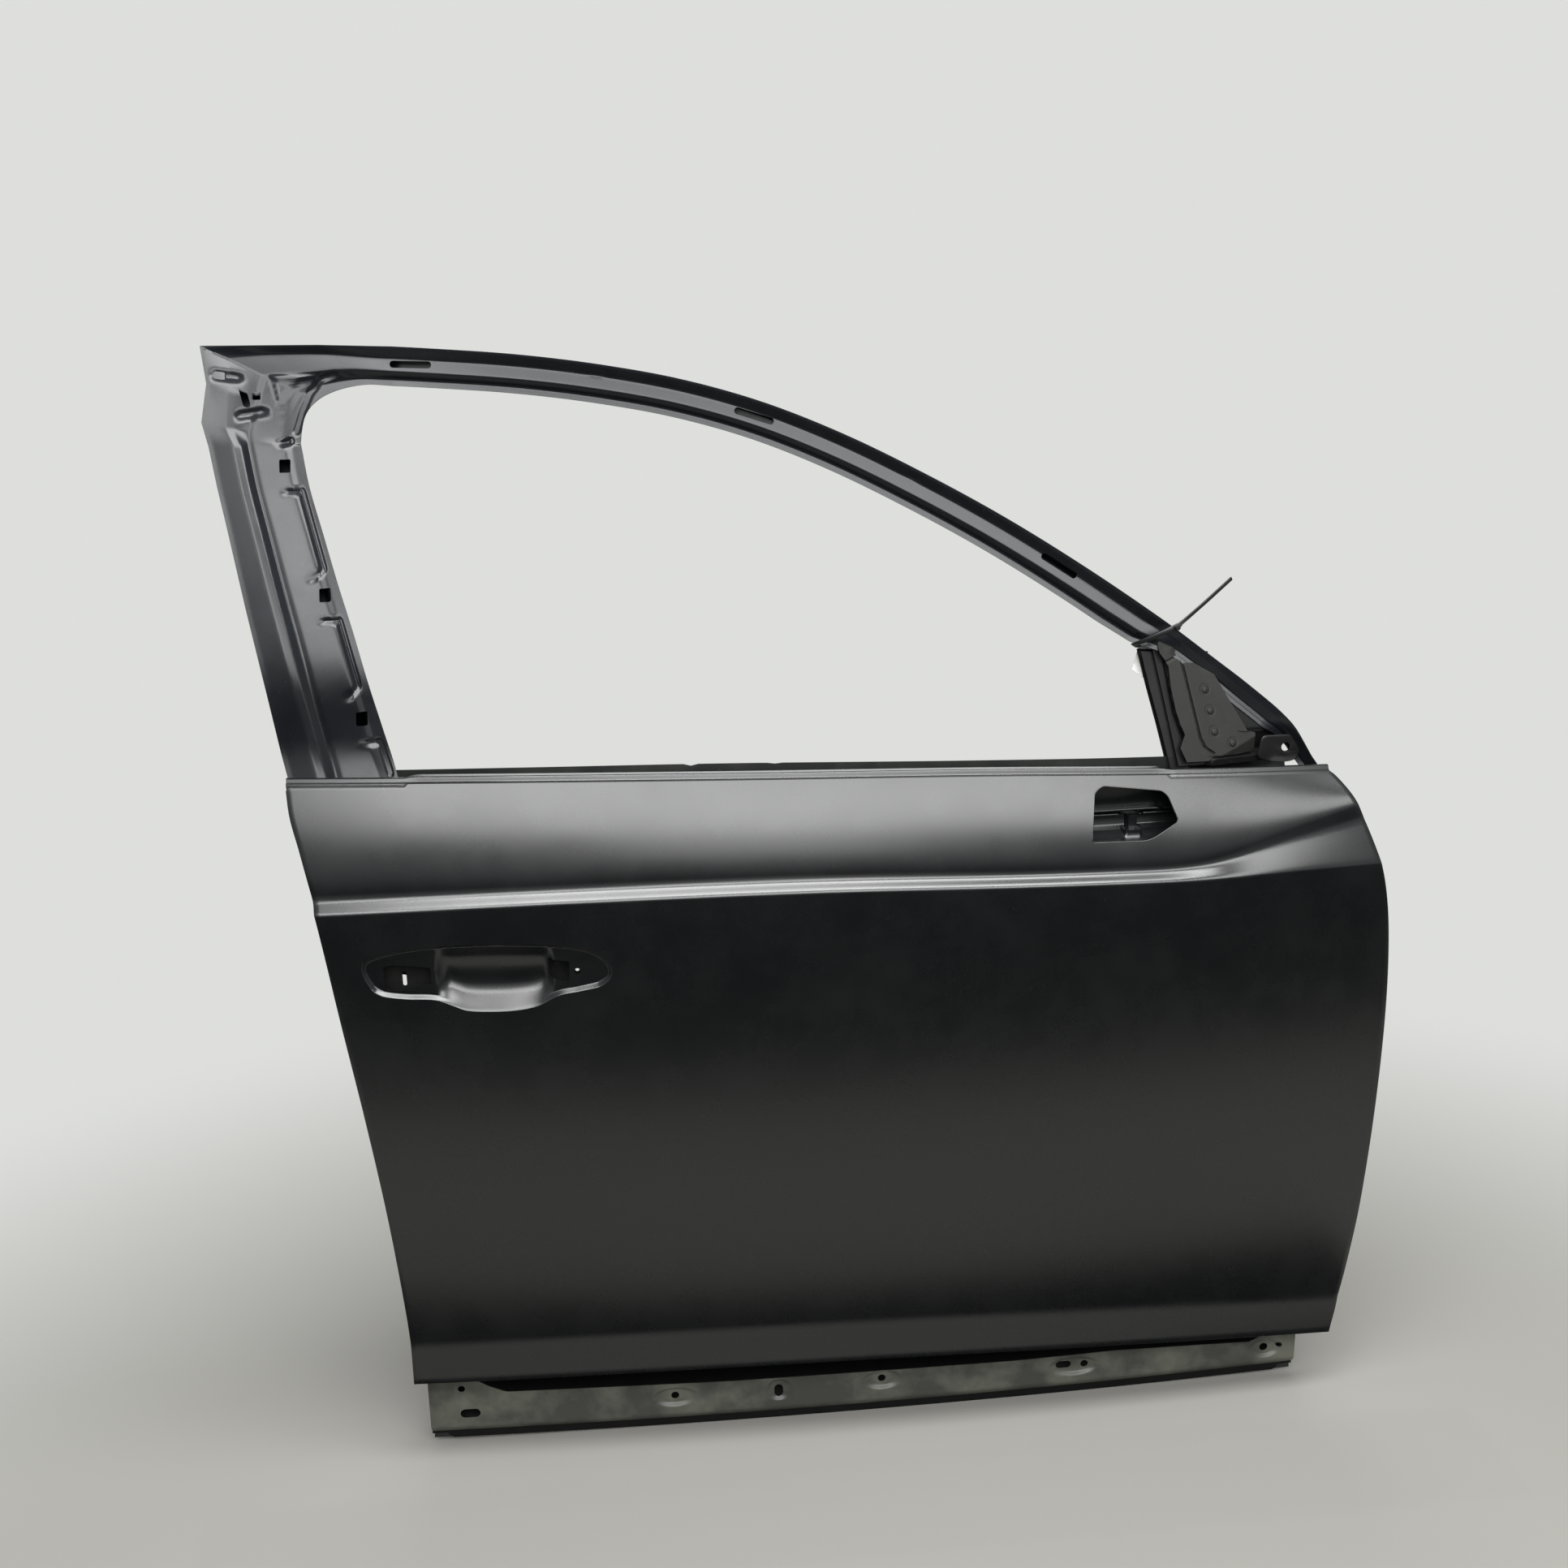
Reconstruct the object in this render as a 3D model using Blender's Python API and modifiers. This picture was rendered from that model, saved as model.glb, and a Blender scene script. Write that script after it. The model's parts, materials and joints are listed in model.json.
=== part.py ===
# Front right-hand door shell of a sport utility vehicle: skin, inner panel, stamped
# window frame and the reinforcements between them.
# X points to the front of the car, Y into the car, Z up. Sizes are in millimetres.
import math
from functools import lru_cache

import bmesh
import bpy
from mathutils import Vector

MM = 0.001

# Sheet metal
SHEET = 1.0
FIT_GAP = 0.35
PLATE = 2.5
HEM_WIDTH = 11.0
EDGE_CLEARANCE = 1.7
FLANGE_DEPTH = SHEET + FIT_GAP
HEM_DEPTH = 3.0 * SHEET + 2.0 * FIT_GAP

# Bow of the whole side seen from above
PLAN_BOW = 22.0
PLAN_MIDDLE = 520.0
PLAN_HALF = 560.0

# Skin edges: height and place along the car
SKIN_REAR = [(95, 4), (182, 2), (307, -6), (424, -18), (534, -32), (613, -42),
             (660, -49), (708, -59), (740, -67), (765, -70)]
SKIN_FRONT = [(66, 1043), (104, 1053), (172, 1060), (237, 1064), (362, 1066), (481, 1064),
              (566, 1058), (622, 1049), (673, 1033), (712, 1016), (734, 1001), (745, 988)]
SKIN_BOTTOM = [(5, 96), (258, 97), (528, 93), (808, 81), (1042, 67)]
BELT_LINE = [(-70, 770), (157, 765.5), (365, 760.5), (612, 753.5), (852, 743), (993, 739)]
CREASE_LINE = [(-50, 648), (200, 653), (440, 653.5), (690, 646.5), (850, 643), (950, 645.5), (1050, 647)]
LEDGE_HEIGHT = [(-50, 9.5), (440, 8), (760, 7), (850, 10), (950, 30), (1050, 50)]
FACET_HEIGHT = [(-50, 6), (760, 5), (850, 5), (935, 10), (1040, 18)]

# Skin depths
LEDGE_DEPTH = 10.0
LEDGE_SPREAD = 0.12
FACET_DEPTH = 1.0
BELT_DEPTH = 40.0
SHOULDER_POWER = 1.6
TUCK_DEPTH = 38.0
TUCK_POWER = 1.8
TUCK_HEIGHT = 42.0
TUCK_RETURN = 6.0
BODY_ROWS = (0.09, 0.22, 0.42, 0.6, 0.7, 0.765, 0.80, 0.835, 0.87, 0.905, 0.95)
SHOULDER_ROWS = (0.3, 0.55, 0.78, 1.0)
EDGE_COLUMN = 0.0137
BLOCK_COLUMNS = (0.022, 0.27)
BLOCK_STEPS = 10
FRONT_COLUMNS = (0.36, 0.45, 0.54, 0.63, 0.72, 0.80, 0.88, 0.95)
BELT_FOLD = [(4, 1), (5, 6), (13, 7), (14, -12)]
BELT_LIP = [(2.5, 1.2), (3.5, 4.5), (5, 5.2), (6.5, 5.4)]
SLOT_ZONE = (50, 815)

# Handle recess
RECESS_LOW = [(12, 564.5), (40, 563.5), (64, 563), (86, 554), (114, 543), (146, 542), (172, 547),
              (197, 559), (215, 567)]
RECESS_HIGH = [(12, 600.5), (39, 605), (87, 611), (134, 612), (198, 606), (215, 602.5)]
RECESS_ENDS = (12, 215)
RECESS_TIPS = (17, 25)
RECESS_CENTRE = (120, 580)
RECESS_RIM = 0.1
RECESS_RIM_DEPTH = 2.5
RECESS_WALL = 0.34
WELL_DEPTH = 13.0
BOWL_DEPTH = 13.0
BOWL_CENTRE = (128, 580)
BOWL_HALF = (60, 46)
HANDLE_REAR_HOLE = (16, 562, 58, 589)
HANDLE_FRONT_HOLE = (180, 568, 200, 590)
HANDLE_PIN_HOLE = (209, 579, 3.2)
SKIN_CUT = (-5, 60)

# Mirror opening in the skin
MIRROR_HOLE = [(735, 727), (741, 739), (799, 735), (813, 723), (824, 700), (810, 686),
               (782, 681), (735, 684)]

# Stamped window frame
FRAME_INSET = 10.0
FRAME_BASE = BELT_DEPTH + FRAME_INSET
FRAME_LEAN = 0.36
FRAME_CURVE = 0.00008
FRAME_Z = 767.0
PILLAR_REAR = [(700, -38), (735, -40), (752, -47), (768, -68), (800, -76), (857, -89), (934, -107),
               (1011, -124), (1050, -133), (1089, -141), (1110, -147), (1150, -146), (1187, -148)]
PILLAR_WINDOW = [(700, 48), (735, 42), (776, 34), (813, 23), (859, 9), (906, -4), (953, -18),
                 (1000, -31), (1047, -44), (1085, -51)]
PILLAR_STATIONS = (700, 735, 752, 768, 795, 850, 905, 960, 1015, 1065)
CORNER_OUTER = [(-147, 1105), (-146, 1150), (-148, 1187), (-95, 1186.5), (-30, 1185.8)]
CORNER_INNER = [(-52, 1090), (-48, 1115), (-35, 1131), (-14, 1141), (14, 1146)]
HEADER_TOP = [(-70, 1187), (11, 1185), (92, 1180), (174, 1173), (255, 1162), (337, 1146), (419, 1122),
              (500, 1089), (582, 1048), (664, 1002), (746, 950), (828, 893), (875, 857), (917, 824),
              (953, 791), (981, 750)]
HEADER_X = (45, 107, 170, 232, 295, 357, 420, 482, 545, 607, 669, 731, 782, 815, 848, 880, 912, 944,
            968, 985)
HEADER_WIDTH = [(45, 39), (782, 39), (815, 37), (848, 24), (880, 23), (912, 25), (944, 24), (968, 14),
                (985, 13)]
FRONT_LEG_OUTER = [(972, 700)]
FRONT_LEG_INNER = [(958, 698)]
FRONT_BLEND = (815, 848)
TIP_BLEND = (912, 960)
LEG_SINK = 14.0
LEG_SINK_HEIGHT = 33.0
SINK_START = [(860, 748), (940, 785)]
HEADER_SECTION = [(0.0, -6), (0.05, -5), (0.30, 7), (0.345, 7.5), (0.62, 8.5), (0.66, 9.5),
                  (0.82, 20), (0.86, 21), (1.0, 21.5)]
PILLAR_SECTION = [(0.0, 0), (0.05, 0), (0.29, -1.5), (0.36, 0.5), (0.43, 9), (0.50, 8.5),
                  (0.83, 10), (0.90, 14), (1.0, 16)]
FRONT_SECTION = [(0.0, -3), (0.05, -2.8), (0.30, 0), (0.345, 0.5), (0.62, 4), (0.66, 4.5), (0.82, 7),
                 (0.86, 7.5), (1.0, 8)]
INNER_HEADER_SECTION = [(0.05, 0), (0.26, 0), (0.30, 29), (0.72, 35), (0.85, 0), (1.0, 0)]
INNER_PILLAR_SECTION = [(0.04, 0), (0.17, 0), (0.24, 28), (0.80, 35), (0.89, 0), (1.0, 0)]
TIP_BOX_SHARE = 0.3
TIP_SLACK = 0.7
REAR_SEAT = 37.1
FRONT_SEAT = 38.0
PILLAR_SQUARES = [(-67, 1068), (-30, 943), (3, 825)]
PILLAR_SQUARE = (11, 13)
HEADER_SLOTS = [(62, 1165, -2), (410, 1108, -18), (719, 952, -33)]
HEADER_SLOT = (42, 7)
FRAME_CUT = (-6, 22)

# Inner panel
TRAY_Y = 150.0
TRAY_CHAMFER = 10.0
REAR_WALL = [(0, 19), (95, 20), (180, 20.5), (580, -20.8), (650, -28.5), (700, -39.5), (765, -53.5)]
FRONT_WALL = [(0, 1000), (66, 1002), (90, 1009), (109, 1024), (150, 1036), (600, 1036), (650, 1022),
              (700, 1002), (745, 972)]
TRAY_COLUMNS = (44, 66, 150, 260, 370, 480, 590, 700, 790, 812, 870, 930)
SHOULDER_Z = 640.0
SHELF_Z = 736.0
SHELF_Y = 114.0
GLASS_SLOT = 32.0
INNER_BELT_Y = BELT_DEPTH + GLASS_SLOT
INNER_BELT_TOP = [(44, 774), (156, 773), (368, 770), (619, 762), (775, 757), (1000, 752)]
BELT_FLANGE_DROP = 24.0
CORNER_TOP = 20.0
CORNER_CLEARANCE = 14.0
INNER_SLOT_END = 800
TIP_CORNER_X = 925
TIP_CORNER_Z = 744
HEM_RUNOUT = [(20, 0, 0), (30, 14, 18)]
SHOULDER_SHARE = 0.8
FLOOR_Z = 26.0
SERVICE_OPENING = (190, 260, 700, 590, 60)
FRONT_ACCESS = (735, 420, 885, 600, 30)
SPEAKER_OPENING = (840, 225, 78)
REAR_ACCESS = (60, 300, 130, 470, 25)

# Sill band below the skin
SILL_Y = 78.0
SILL_LOWER = [(0, 6), (270, 1), (530, -1), (780, 0), (1018, 4)]
SILL_ENDS = (3, 1018)
LIP_DROP = 9.0
LIP_RISE = 8.0
LIP_Y = 6.0
SILL_TOP_ENDS = (34, 1008)
SILL_ROUND_HOLES = [(50, 62, 4), (287, 31, 4.5), (524, 32, 4.5), (763, 28, 4.5), (981, 28, 5), (999, 31, 3.5)]
SILL_SLOTS = [(58, 30, 22, 11), (738, 29, 18, 9), (405, 27, 10, 15)]

# Hinge mounts on the front wall
UPPER_HINGE_Z = 520.0
LOWER_HINGE_Z = 215.0
HINGE_Y = 92.0
HINGE_BOLT_SPACING = 44.0
HINGE_BOLT_RADIUS = 5.5
HINGE_PLATE = (80, 80)
NUT_RADIUS = 10.0
NUT_HEIGHT = 9.0
CHECK_STRAP_Z = 368.0
CHECK_STRAP_HOLE = (22, 34)
CHECK_STRAP_PLATE = (64, 92)

# Latch side
LATCH_Z = 430.0
LATCH_Y = 100.0
LATCH_PLATE = (76, 130)
LATCH_SLOT = (30, 62)

# Impact beam
BEAM_RADIUS = 16.0
BEAM_WALL = 2.0
BEAM_Y = 62.0
BEAM_REAR = (36, 325)
BEAM_FRONT = (1006, 288)
BEAM_BRACKET = (70, 58, 30)

# Glass channels
CHANNEL_WIDTH = 20.0
CHANNEL_DEPTH = 15.0
CHANNEL_LEG_DEPTH = 21.9
CHANNEL_TOP_GAP = 1.2
FRONT_CHANNEL = [(862, 805), (826, 811.5), (786, 820), (756, 826), (700, 836), (620, 848), (540, 858),
                 (522, 860), (488, 864), (470, 866)]
REAR_CHANNEL = [(722, 57), (700, 62), (620, 80), (540, 96), (522, 99), (488, 105), (470, 108)]
CHANNEL_BRACKET_Z = 505.0
CHANNEL_BRACKET_HEIGHT = 34.0

# Front corner of the window
GUSSET_DEPTH = 9.4
GUSSET_ROWS = [(854, 836, 846), (842, 829, 860), (826, 826, 880), (800, 830, 906), (776, 835, 930),
               (753, 840, 944)]
RIVETS = [(867, 824), (871, 803), (874, 782), (893, 770)]
RIVET_RADIUS = 4.0
RIVET_HEIGHT = 1.8
QUARTER_BRACKET = (922, 750, 955, 772)
QUARTER_DEPTH = 2.8
QUARTER_HOLE = (953, 762, 4.8)

# Reinforcements
HAT_SECTION = [(0, 10.95), (-13, 11.65), (-23, 16.5), (-50, 13), (-66, -18), (-78, -24.5)]
INNER_HAT_X = (70, 800)
INNER_HAT_START = 10
INNER_HAT = [(0, 0), (14, 0), (20, 14), (62, 14), (68, 0), (80, 0)]
HANDLE_PLATE = (-8, 540, 250, 618, 12)
HANDLE_PLATE_GAP = 0.4
MIRROR_BRACKET_X = (724, 838)
MIRROR_BRACKET_SECTION = [(668, 0.9), (678, 0.9), (684, 30), (731, 37)]

COLLECTION = "car_door_shell"


def smooth_curve(points, t):
    """Value at t of a smooth line through (t, value) points, straight beyond its ends."""
    last = len(points) - 1
    slopes = []
    for i in range(last + 1):
        before = points[max(0, i - 1)]
        after = points[min(last, i + 1)]
        slopes.append((after[1] - before[1]) / (after[0] - before[0]))
    if t <= points[0][0]:
        return points[0][1] + slopes[0] * (t - points[0][0])
    if t >= points[last][0]:
        return points[last][1] + slopes[last] * (t - points[last][0])
    for i in range(last):
        if t <= points[i + 1][0]:
            width = points[i + 1][0] - points[i][0]
            s = (t - points[i][0]) / width
            start = points[i][1] * (1 + 2 * s) * (1 - s) ** 2 + slopes[i] * width * s * (1 - s) ** 2
            end = points[i + 1][1] * s * s * (3 - 2 * s) - slopes[i + 1] * width * s * s * (1 - s)
            return start + end


def straight_curve(points, t):
    """Value at t of straight runs between (t, value) points."""
    for (t0, v0), (t1, v1) in zip(points, points[1:]):
        if t <= t1:
            break
    return v0 + (v1 - v0) * (t - t0) / (t1 - t0)


def held_curve(points, t):
    """Straight runs between (t, value) points, held at both end values."""
    return straight_curve(points, min(max(t, points[0][0]), points[-1][0]))


def mix(a, b, share):
    return a + (b - a) * share


def plan(x):
    return PLAN_BOW * ((x - PLAN_MIDDLE) / PLAN_HALF) ** 2


# Skin surface

def row_heights(x):
    """Heights of the skin's rows of points at one place along the car."""
    bottom = smooth_curve(SKIN_BOTTOM, x)
    tuck = bottom + TUCK_HEIGHT
    crease = smooth_curve(CREASE_LINE, x)
    ledge = crease + smooth_curve(LEDGE_HEIGHT, x)
    facet = ledge + smooth_curve(FACET_HEIGHT, x)
    belt = smooth_curve(BELT_LINE, x)
    body = [mix(tuck, crease, share) for share in BODY_ROWS]
    shoulder = [mix(facet, belt, share) for share in SHOULDER_ROWS]
    return [bottom, tuck] + body + [crease, ledge, facet] + shoulder


ROWS = 2 + len(BODY_ROWS) + 3 + len(SHOULDER_ROWS)
TOP = ROWS - 1
CREASE_ROW = 2 + len(BODY_ROWS)
BLOCK_ROWS = (2 + BODY_ROWS.index(0.765), 2 + BODY_ROWS.index(0.95))


def skin_y(x, z):
    """Depth of the skin's outer face."""
    bottom = smooth_curve(SKIN_BOTTOM, x)
    tuck = bottom + TUCK_HEIGHT
    crease = smooth_curve(CREASE_LINE, x)
    step = smooth_curve(LEDGE_HEIGHT, x)
    ledge = crease + step
    facet = ledge + smooth_curve(FACET_HEIGHT, x)
    belt = smooth_curve(BELT_LINE, x)
    step_depth = LEDGE_DEPTH + LEDGE_SPREAD * max(0.0, step - 9.0)
    facet_y = step_depth + FACET_DEPTH
    if z >= facet:
        rise = facet_y + (BELT_DEPTH - facet_y) * ((z - facet) / (belt - facet)) ** SHOULDER_POWER
    elif z >= ledge:
        rise = step_depth + FACET_DEPTH * (z - ledge) / (facet - ledge)
    elif z >= crease:
        rise = step_depth * (z - crease) / (ledge - crease)
    elif z >= tuck:
        rise = TUCK_DEPTH * ((crease - z) / (crease - tuck)) ** TUCK_POWER
    else:
        rise = TUCK_DEPTH - TUCK_RETURN * (tuck - z) / TUCK_HEIGHT
    return rise + plan(x)


@lru_cache(maxsize=None)
def skin_column(share):
    """The skin's points from bottom to top at one share of its length."""
    column = []
    for row in range(ROWS):
        x = mix(SKIN_REAR[0][1], SKIN_FRONT[0][1], share)
        for _ in range(8):
            z = row_heights(x)[row]
            x = mix(smooth_curve(SKIN_REAR, z), smooth_curve(SKIN_FRONT, z), share)
        z = row_heights(x)[row]
        column.append(Vector((x, skin_y(x, z), z)))
    return column


def shell_point(share, row, depth):
    """Point at a depth square to the skin, so that sheets laid in layers keep an even gap."""
    column = skin_column(share)
    normals = []
    for a, b in ((row - 1, row), (row, row + 1)):
        if 0 <= a and b < ROWS:
            run = column[b] - column[a]
            normals.append(Vector((0, run.z, -run.y)).normalized())
    if len(normals) == 1:
        return column[row] + normals[0] * depth
    middle = (normals[0] + normals[1]).normalized()
    return column[row] + middle * (depth / middle.dot(normals[0]))


def share_at(x, z):
    rear = smooth_curve(SKIN_REAR, z)
    return (x - rear) / (smooth_curve(SKIN_FRONT, z) - rear)


def block_shares():
    low, high = BLOCK_COLUMNS
    return [mix(low, high, i / BLOCK_STEPS) for i in range(BLOCK_STEPS + 1)]


def skin_shares():
    return [0.0, EDGE_COLUMN] + block_shares() + list(FRONT_COLUMNS) + [1 - EDGE_COLUMN, 1.0]


# Mesh helpers

def material(name, colour, roughness, metallic):
    made = bpy.data.materials.new(name)
    made.use_nodes = True
    shader = made.node_tree.nodes["Principled BSDF"]
    shader.inputs["Base Color"].default_value = (*colour, 1.0)
    shader.inputs["Roughness"].default_value = roughness
    shader.inputs["Metallic"].default_value = metallic
    return made


def grid_faces(grid):
    """Faces of rows of point numbers; rows run up and columns run forward."""
    faces = []
    for lower, upper in zip(grid, grid[1:]):
        for i in range(len(lower) - 1):
            faces.append((lower[i], lower[i + 1], upper[i + 1], upper[i]))
    return faces


class Sheet:
    """Points and faces of one stamping, gathered before they become an object."""

    def __init__(self):
        self.points = []
        self.faces = []

    def point(self, place):
        self.points.append(Vector(place) * MM)
        return len(self.points) - 1

    def grid(self, rows):
        numbers = [[self.point(place) for place in row] for row in rows]
        self.faces += grid_faces(numbers)
        return numbers

    def build(self, name, finish, thickness=SHEET):
        mesh = bpy.data.meshes.new(name)
        mesh.from_pydata(self.points, [], self.faces)
        mesh.update()
        thing = place_object(name, mesh, finish)
        shell = thing.modifiers.new("sheet", "SOLIDIFY")
        shell.thickness = thickness * MM
        shell.offset = -1.0
        shell.use_even_offset = True
        return thing


def place_object(name, mesh, finish, location=(0, 0, 0), turn=(0, 0, 0)):
    """Put a mesh on the door's datum, with its place in millimetres."""
    thing = bpy.data.objects.new(name, mesh)
    thing.location = Vector(location) * MM
    thing.rotation_euler = turn
    thing.parent = bpy.data.objects["door_datum"]
    bpy.data.collections[COLLECTION].objects.link(thing)
    if finish is not None:
        mesh.materials.append(bpy.data.materials[finish])
    return thing


def rounded_outline(low, high, radius, steps=4):
    """Corners of a rectangle with round corners, anticlockwise."""
    places = []
    centres = [(high[0] - radius, high[1] - radius, 0), (low[0] + radius, high[1] - radius, 90),
               (low[0] + radius, low[1] + radius, 180), (high[0] - radius, low[1] + radius, 270)]
    for u, v, start in centres:
        for i in range(steps + 1):
            angle = math.radians(start + 90 * i / steps)
            places.append((u + radius * math.cos(angle), v + radius * math.sin(angle)))
    return places


def circle_outline(u, v, radius, steps=16):
    return [(u + radius * math.cos(math.tau * i / steps), v + radius * math.sin(math.tau * i / steps))
            for i in range(steps)]


def prism(bm, outline, base, u_axis, v_axis, depth_axis, depth):
    """Add a closed prism: an outline in one plane drawn out along depth_axis."""
    ring = []
    for offset in (0.0, depth):
        ring.append([bm.verts.new((base + u_axis * u + v_axis * v + depth_axis * offset) * MM)
                     for u, v in outline])
    count = len(outline)
    faces = [bm.faces.new(ring[0]), bm.faces.new(list(reversed(ring[1])))]
    for i in range(count):
        j = (i + 1) % count
        faces.append(bm.faces.new((ring[0][j], ring[0][i], ring[1][i], ring[1][j])))
    bmesh.ops.recalc_face_normals(bm, faces=faces)


X_AXIS = Vector((1, 0, 0))
Y_AXIS = Vector((0, 1, 0))
Z_AXIS = Vector((0, 0, 1))


def cutter(name, prisms):
    """One hidden cutter made of prisms, each (outline, base, u, v, depth axis, depth)."""
    bm = bmesh.new()
    for shape in prisms:
        prism(bm, *shape)
    mesh = bpy.data.meshes.new(name)
    bm.to_mesh(mesh)
    bm.free()
    thing = bpy.data.objects.new(name, mesh)
    thing.parent = bpy.data.objects["door_datum"]
    thing.hide_render = True
    thing.display_type = "WIRE"
    bpy.data.collections["cutters"].objects.link(thing)
    return thing


def along_y(outline, low, high):
    return (outline, Vector((0, low, 0)), X_AXIS, Z_AXIS, Y_AXIS, high - low)


def cut(thing, tool):
    hole = thing.modifiers.new(tool.name, "BOOLEAN")
    hole.operation = "DIFFERENCE"
    hole.solver = "EXACT"
    hole.object = tool


def plate(name, finish, outline, thickness, base, u_axis, v_axis, depth_axis, holes=()):
    """Flat stamped plate from an outline, with holes cut through it."""
    bm = bmesh.new()
    prism(bm, outline, base, u_axis, v_axis, depth_axis, thickness)
    mesh = bpy.data.meshes.new(name)
    bm.to_mesh(mesh)
    bm.free()
    thing = place_object(name, mesh, finish)
    if holes:
        shapes = [(hole, base - depth_axis * 5, u_axis, v_axis, depth_axis, thickness + 10) for hole in holes]
        cut(thing, cutter(name + "_holes", shapes))
    return thing


# Outer skin

def recess_depth(x, z):
    """Depth of the handle recess floor below the skin."""
    across = ((x - BOWL_CENTRE[0]) / BOWL_HALF[0]) ** 2
    along = ((z - BOWL_CENTRE[1]) / BOWL_HALF[1]) ** 2
    return WELL_DEPTH + BOWL_DEPTH * max(0.0, 1 - across) * max(0.0, 1 - along)


def recess_ring_place(i, j, width, height):
    """Point of the recess outline for one step round the block that holds it."""
    if j in (0, height):
        x = mix(RECESS_ENDS[0], RECESS_ENDS[1], i / width)
        return (x, smooth_curve(RECESS_LOW if j == 0 else RECESS_HIGH, x))
    end = 0 if i == 0 else 1
    x = RECESS_ENDS[end]
    z = mix(smooth_curve(RECESS_LOW, x), smooth_curve(RECESS_HIGH, x), j / height)
    bulge = RECESS_TIPS[end] * math.sin(math.pi * j / height)
    return (x - bulge if end == 0 else x + bulge, z)


def block_ring(width, height):
    """Grid steps (column, row) round a block, anticlockwise from its lower rear corner."""
    ring = [(i, 0) for i in range(width)]
    ring += [(width, j) for j in range(height)]
    ring += [(width - i, height) for i in range(width)]
    ring += [(0, height - j) for j in range(height)]
    return ring


def add_recess(sheet, numbers, first_column, first_row, width, height):
    """Replace a block of the skin's grid with rings that step down into the handle recess."""
    ring = block_ring(width, height)
    outer = [numbers[first_row + j][first_column + i] for i, j in ring]
    outline = [recess_ring_place(i, j, width, height) for i, j in ring]
    levels = [(0.0, 0.0), (RECESS_RIM, RECESS_RIM_DEPTH), (RECESS_WALL, None)]
    previous = outer
    edge = None
    for inset, depth in levels:
        loop = []
        edge = []
        for x, z in outline:
            x = mix(x, RECESS_CENTRE[0], inset * 0.35)
            z = mix(z, RECESS_CENTRE[1], inset)
            down = recess_depth(x, z) if depth is None else depth
            edge.append((x, z))
            loop.append(sheet.point((x, skin_y(x, z) + down, z)))
        for a in range(len(loop)):
            b = (a + 1) % len(loop)
            sheet.faces.append((previous[a], previous[b], loop[b], loop[a]))
        previous = loop
    floor = {step: number for step, number in zip(ring, previous)}
    place = dict(zip(ring, edge))
    for j in range(1, height):
        for i in range(1, width):
            s, t = i / width, j / height
            spot = []
            for a in range(2):
                across = mix(place[(0, j)][a], place[(width, j)][a], s)
                up = mix(place[(i, 0)][a], place[(i, height)][a], t)
                low = mix(place[(0, 0)][a], place[(width, 0)][a], s)
                high = mix(place[(0, height)][a], place[(width, height)][a], s)
                spot.append(across + up - mix(low, high, t))
            x, z = spot
            floor[(i, j)] = sheet.point((x, skin_y(x, z) + recess_depth(x, z), z))
    for j in range(height):
        for i in range(width):
            sheet.faces.append((floor[(i, j)], floor[(i + 1, j)], floor[(i + 1, j + 1)], floor[(i, j + 1)]))


def slot_zone(x):
    """1 where the glass slot runs, 0 beside it."""
    low, high = SLOT_ZONE
    return 1.0 if low < x < high else 0.0


def outer_panel():
    """Door skin: crease, shoulder, folded belt edge, hem on three sides, recess and openings."""
    sheet = Sheet()
    shares = skin_shares()
    rows = [[skin_column(share)[row] for share in shares] for row in range(ROWS)]
    numbers = [[sheet.point(place) for place in row] for row in rows]
    first = shares.index(BLOCK_COLUMNS[0])
    low, high = BLOCK_ROWS
    for row in range(TOP):
        for i in range(len(shares) - 1):
            if low <= row < high and first <= i < first + BLOCK_STEPS:
                continue
            sheet.faces.append((numbers[row][i], numbers[row][i + 1], numbers[row + 1][i + 1],
                                numbers[row + 1][i]))
    add_recess(sheet, numbers, first, low, BLOCK_STEPS, high - low)
    previous = numbers[TOP]
    for step in range(len(BELT_FOLD)):
        fold = []
        for place in rows[TOP]:
            share = slot_zone(place.x)
            back = mix(BELT_LIP[step][0], BELT_FOLD[step][0], share)
            up = mix(BELT_LIP[step][1], BELT_FOLD[step][1], share)
            fold.append(sheet.point(place + Vector((0, back, up))))
        for i in range(len(fold) - 1):
            sheet.faces.append((previous[i], previous[i + 1], fold[i + 1], fold[i]))
        previous = fold
    add_hem(sheet, numbers, shares)
    panel = sheet.build("outer_panel", "skin_coat")
    cut(panel, cutter("handle_cuts", [
        along_y(rounded_outline(HANDLE_REAR_HOLE[:2], HANDLE_REAR_HOLE[2:], 3, 2), *SKIN_CUT),
        along_y(rounded_outline(HANDLE_FRONT_HOLE[:2], HANDLE_FRONT_HOLE[2:], 2, 2), *SKIN_CUT),
        along_y(circle_outline(*HANDLE_PIN_HOLE, 10), *SKIN_CUT)]))
    cut(panel, cutter("mirror_cut", [along_y(MIRROR_HOLE, *SKIN_CUT)]))
    return panel


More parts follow.
